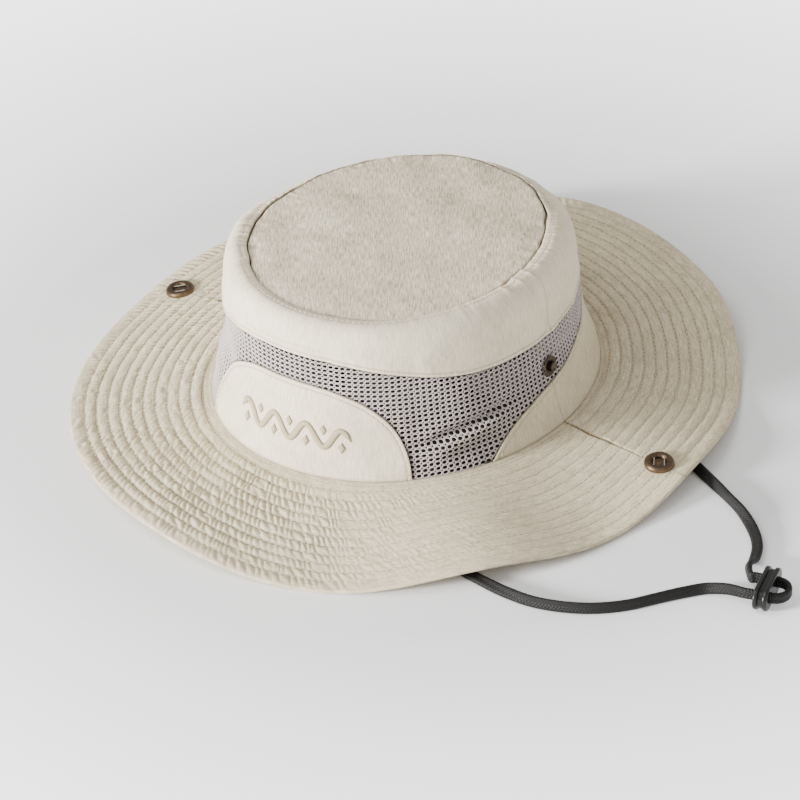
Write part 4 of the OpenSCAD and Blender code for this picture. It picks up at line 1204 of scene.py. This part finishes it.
def base_tape_profile():
    def f(o, z):
        return lambda T: np.stack([BW * np.cos(rad(T)) - ring_n(T)[0] * (o + 0.06 * noise(T / 4, z + 0 * T, 99, 90)),
                                   BL * np.sin(rad(T)) - ring_n(T)[1] * (o + 0.06 * noise(T / 4, z + 0 * T, 99, 90)), np.full(len(T), z)], -1)
    z0, z1 = BZ - 3.6, BZ + 2.0
    zs = [z0 + 0.05, z0 + 0.3, z0 + 0.9, z0 + 1.2, z0 + 1.5, (z0 + z1) / 2, z1 - 1.5, z1 - 1.2, z1 - 0.9, z1 - 0.3, z1 - 0.05]
    lo = [f(4.75 + (0.0 if i in (0, 10) else 0.05) - (0.12 if i in (3, 7) else 0), z) for i, z in enumerate(zs)]
    hi = [f(4.0 + (0.12 if i in (0, 10) else 0.0), z) for i, z in list(enumerate(zs))[::-1]]
    return lo + hi


ring_strip("base_tape_cloth", base_tape_profile(), M_TAPE, ["base_seam_tape"])


def tip_tape_profile():
    def f(r, z):
        return lambda T: np.stack([68 * r * np.cos(rad(T)) - 2, 81 * r * np.sin(rad(T)) - 3, z + 0.05 * noise(T / 4, r * 20 + 0 * T, 97, 90)], -1)
    z = BZ + CH - 2.7
    rs = [1.058, 1.05, 1.035, 1.028, 1.02, 0.995, 0.97, 0.962, 0.955, 0.94, 0.932]
    lo = [f(r, z - 0.55 + (0.18 if i in (0, 10) else 0) + (0.1 if i in (3, 7) else 0)) for i, r in enumerate(rs)]
    hi = [f(r, z - 0.05 - (0.12 if i in (0, 10) else 0)) for i, r in list(enumerate(rs))[::-1]]
    return lo + hi


ring_strip("tip_tape_cloth", tip_tape_profile(), M_TAPE, ["tip_seam_tape"])

# topstitching on the crown
parts = []
Tw = np.arange(0, 360.01, 0.2)
V = np.full(len(Tw), 0.9815)
parts.append(stitches(crown_p(Tw, V, 0.55 - 0.02), crown_n(Tw, V), size=2.0, space=0.7, r=0.17))
hb = band_low(Tw) + 2.0 / slope_k(band_low, Tw)
parts.append(stitches(crown_p(Tw, hb / 79.3, 0.55 - 0.02), crown_n(Tw, hb / 79.3), size=2.2, space=0.7, r=0.17))
# front panel: offset line 2.1 mm inside its curved edge
cn = np.gradient(curve, axis=0); cn = np.stack([cn[:, 1], -cn[:, 0]], -1); cn /= np.linalg.norm(cn, axis=1, keepdims=True)
ins = curve + cn * 2.1
dmin = np.array([np.sqrt(((curve - q) ** 2).sum(1)).min() for q in ins])
ins = ins[(dmin > 2.0) & (ins[:, 1] > 1.0)]
ti = np.interp(ins[:, 0], _arc * 0.905, _tt)
parts.append(stitches(crown_p(ti, ins[:, 1] / 79.3, 0.62 + 0.02), crown_n(ti, ins[:, 1] / 79.3), size=2.2, space=0.7, r=0.17))
for lo, hi in ((333, 412.5), (487.5, 567)):
    Tr = np.arange(lo, hi, 0.2)
    hr = rear_top(Tr) - 2.0 / slope_k(rear_top, Tr)
    ok = hr > 1.0
    Tr, hr = Tr[ok], hr[ok]
    parts.append(stitches(crown_p(Tr, hr / 79.3, 0.42 - 0.02), crown_n(Tr, hr / 79.3), size=2.2, space=0.7, r=0.17))
thread_piece("crown_topstitching", parts, body="hat")


# ------------------------------------------------------------------ embroidered motif: a rolling wave with small diamonds
def satin(name, centre, half, height, lean=0.0):
    """Raised satin stitch on the front panel: centre is a line of (arc, height), half its half width along the line."""
    c = np.asarray(centre, float)
    s = np.concatenate([[0], np.cumsum(np.linalg.norm(np.diff(c, axis=0), axis=1))])
    n = int(s[-1] / 0.11)
    g = np.linspace(0, s[-1], n)
    c = np.stack([np.interp(g, s, c[:, k]) for k in range(2)], -1)
    w = np.interp(g, np.linspace(0, s[-1], len(half)), half)
    tn = np.gradient(c, axis=0); tn /= np.linalg.norm(tn, axis=1, keepdims=True)
    sd = np.stack([-tn[:, 1], tn[:, 0]], -1)
    m = 13
    f = np.linspace(-1, 1, m)
    edge_w = w * (1 + 0.05 * np.sin(2 * np.pi * g / 0.42))
    A = c[:, None, :] + sd[:, None, :] * (edge_w[:, None] * f)[..., None] + tn[:, None, :] * (lean * f[None, :, None] ** 1)
    prof = np.clip(1 - np.abs(f) ** 2.6, 0, 1) ** 0.6
    th = 0.055 * np.sin(2 * np.pi * g / 0.42)
    O = -0.35 + (0.35 + 0.32 + height * np.minimum(1, w / 0.9))[:, None] * prof + th[:, None] * prof
    T = np.interp(A[..., 0], _arc * 0.905, _tt)
    P = crown_p(T, A[..., 1] / 79.3, 1.15 + O)
    Pb = crown_p(T, A[..., 1] / 79.3, np.full(T.shape, 0.75))
    i = np.arange(n - 1); j = np.arange(m - 1); o = n * m
    F = [grid_faces(n, m), grid_faces(n, m, base=o, flip=True)]
    for jj, fl in ((0, False), (m - 1, True)):
        q = np.stack([i * m + jj, o + i * m + jj, o + (i + 1) * m + jj, (i + 1) * m + jj], -1); F.append(q[:, ::-1] if fl else q)
    for ii, fl in ((0, True), (n - 1, False)):
        q = np.stack([ii * m + j, o + ii * m + j, o + ii * m + j + 1, ii * m + j + 1], -1); F.append(q[:, ::-1] if fl else q)
    uv = np.stack([A[..., 0], A[..., 1]], -1)
    # Painted shade (crease attribute): darker towards the edges of each satin ribbon.
    C = np.broadcast_to(np.abs(f)[None, :] ** 5, T.shape)
    return np.concatenate([P.reshape(-1, 3), Pb.reshape(-1, 3)]), np.concatenate(F), np.concatenate([uv.reshape(-1, 2)] * 2), np.concatenate([C.reshape(-1)] * 2)


def motif():
    P, F, U, C = [], [], [], []
    base = 0
    a0, a1 = arc(250.0), arc(291.5)
    x = np.linspace(a0, a1, 400); ph = (x - a0) / (a1 - a0)
    items = []
    waves = 3.5
    y = 19.0 + 4.9 * np.sin(2 * np.pi * waves * ph)
    y = y + 1.0 * np.sin(np.pi * ph)
    taper = np.clip(np.minimum(ph, 1 - ph) / 0.04, 0.25, 1)
    items.append((np.stack([x, y], -1), 1.65 * taper, 0.60))
    for k in range(7):
        c = (k + 0.5) / 7
        px = a0 + (a1 - a0) * c
        up = 1 if k % 2 else -1
        py = 19.0 + 1.0 * np.sin(np.pi * c) + up * 3.9
        q = np.linspace(-1, 1, 40)
        items.append((np.stack([px + 0 * q, py + 2.8 * q], -1), 2.0 * (1 - np.abs(q)) + 0.05, 0.50))
    for c, w, h in items:
        p, f, u, c2 = satin("m", c, w, h)
        P.append(p); F.append(f + base); U.append(u); C.append(c2); base += len(p)
    ob = make("embroidered_wave_motif", np.concatenate(P), np.concatenate(F), uv=np.concatenate(U), attrs={"crease_shade": np.concatenate(C)})
    fix_tris(ob)
    paint(ob, M_EMB, "hat")
    return ob


# Its crease colour is painted shade at the edges of the satin ribbons.
M_EMB = cloth("embroidery_thread", None, (0.350, 0.290, 0.185), (0.490, 0.418, 0.285), pitch=0.42, streak=0.25, bump=0.15, sheen=0.3, crease_shade=(0.14, 0.11, 0.07))
motif()

# ------------------------------------------------------------------ snaps
for _n in ("left_snap_socket", "right_snap_socket", "left_snap_cap", "right_snap_cap", "left_stud_post", "right_stud_post"):
    o = bpy.data.objects[_n]; o.data.materials.clear(); o.data.materials.append(M_BRASS)
for _n in ("left_crown_stud", "right_crown_stud"):
    o = bpy.data.objects[_n]; o.data.materials.clear(); o.data.materials.append(M_DARK)
for _n in ("left_snap_spring", "right_snap_spring"):
    o = bpy.data.objects[_n]; o.data.materials.clear(); o.data.materials.append(M_WIRE)


# ------------------------------------------------------------------ area of each cloth
def area_mm2(ob):
    me = ob.data
    a = np.zeros(len(me.polygons), np.float32); me.polygons.foreach_get("area", a)
    return float(a.sum()) * 1e6


for _o in (brim_l, brim_r, band, front, rear, mesh_ob, tip, sweat):
    print("AREA", _o.name, round(area_mm2(_o)), "half", round(area_mm2(_o) / 2))
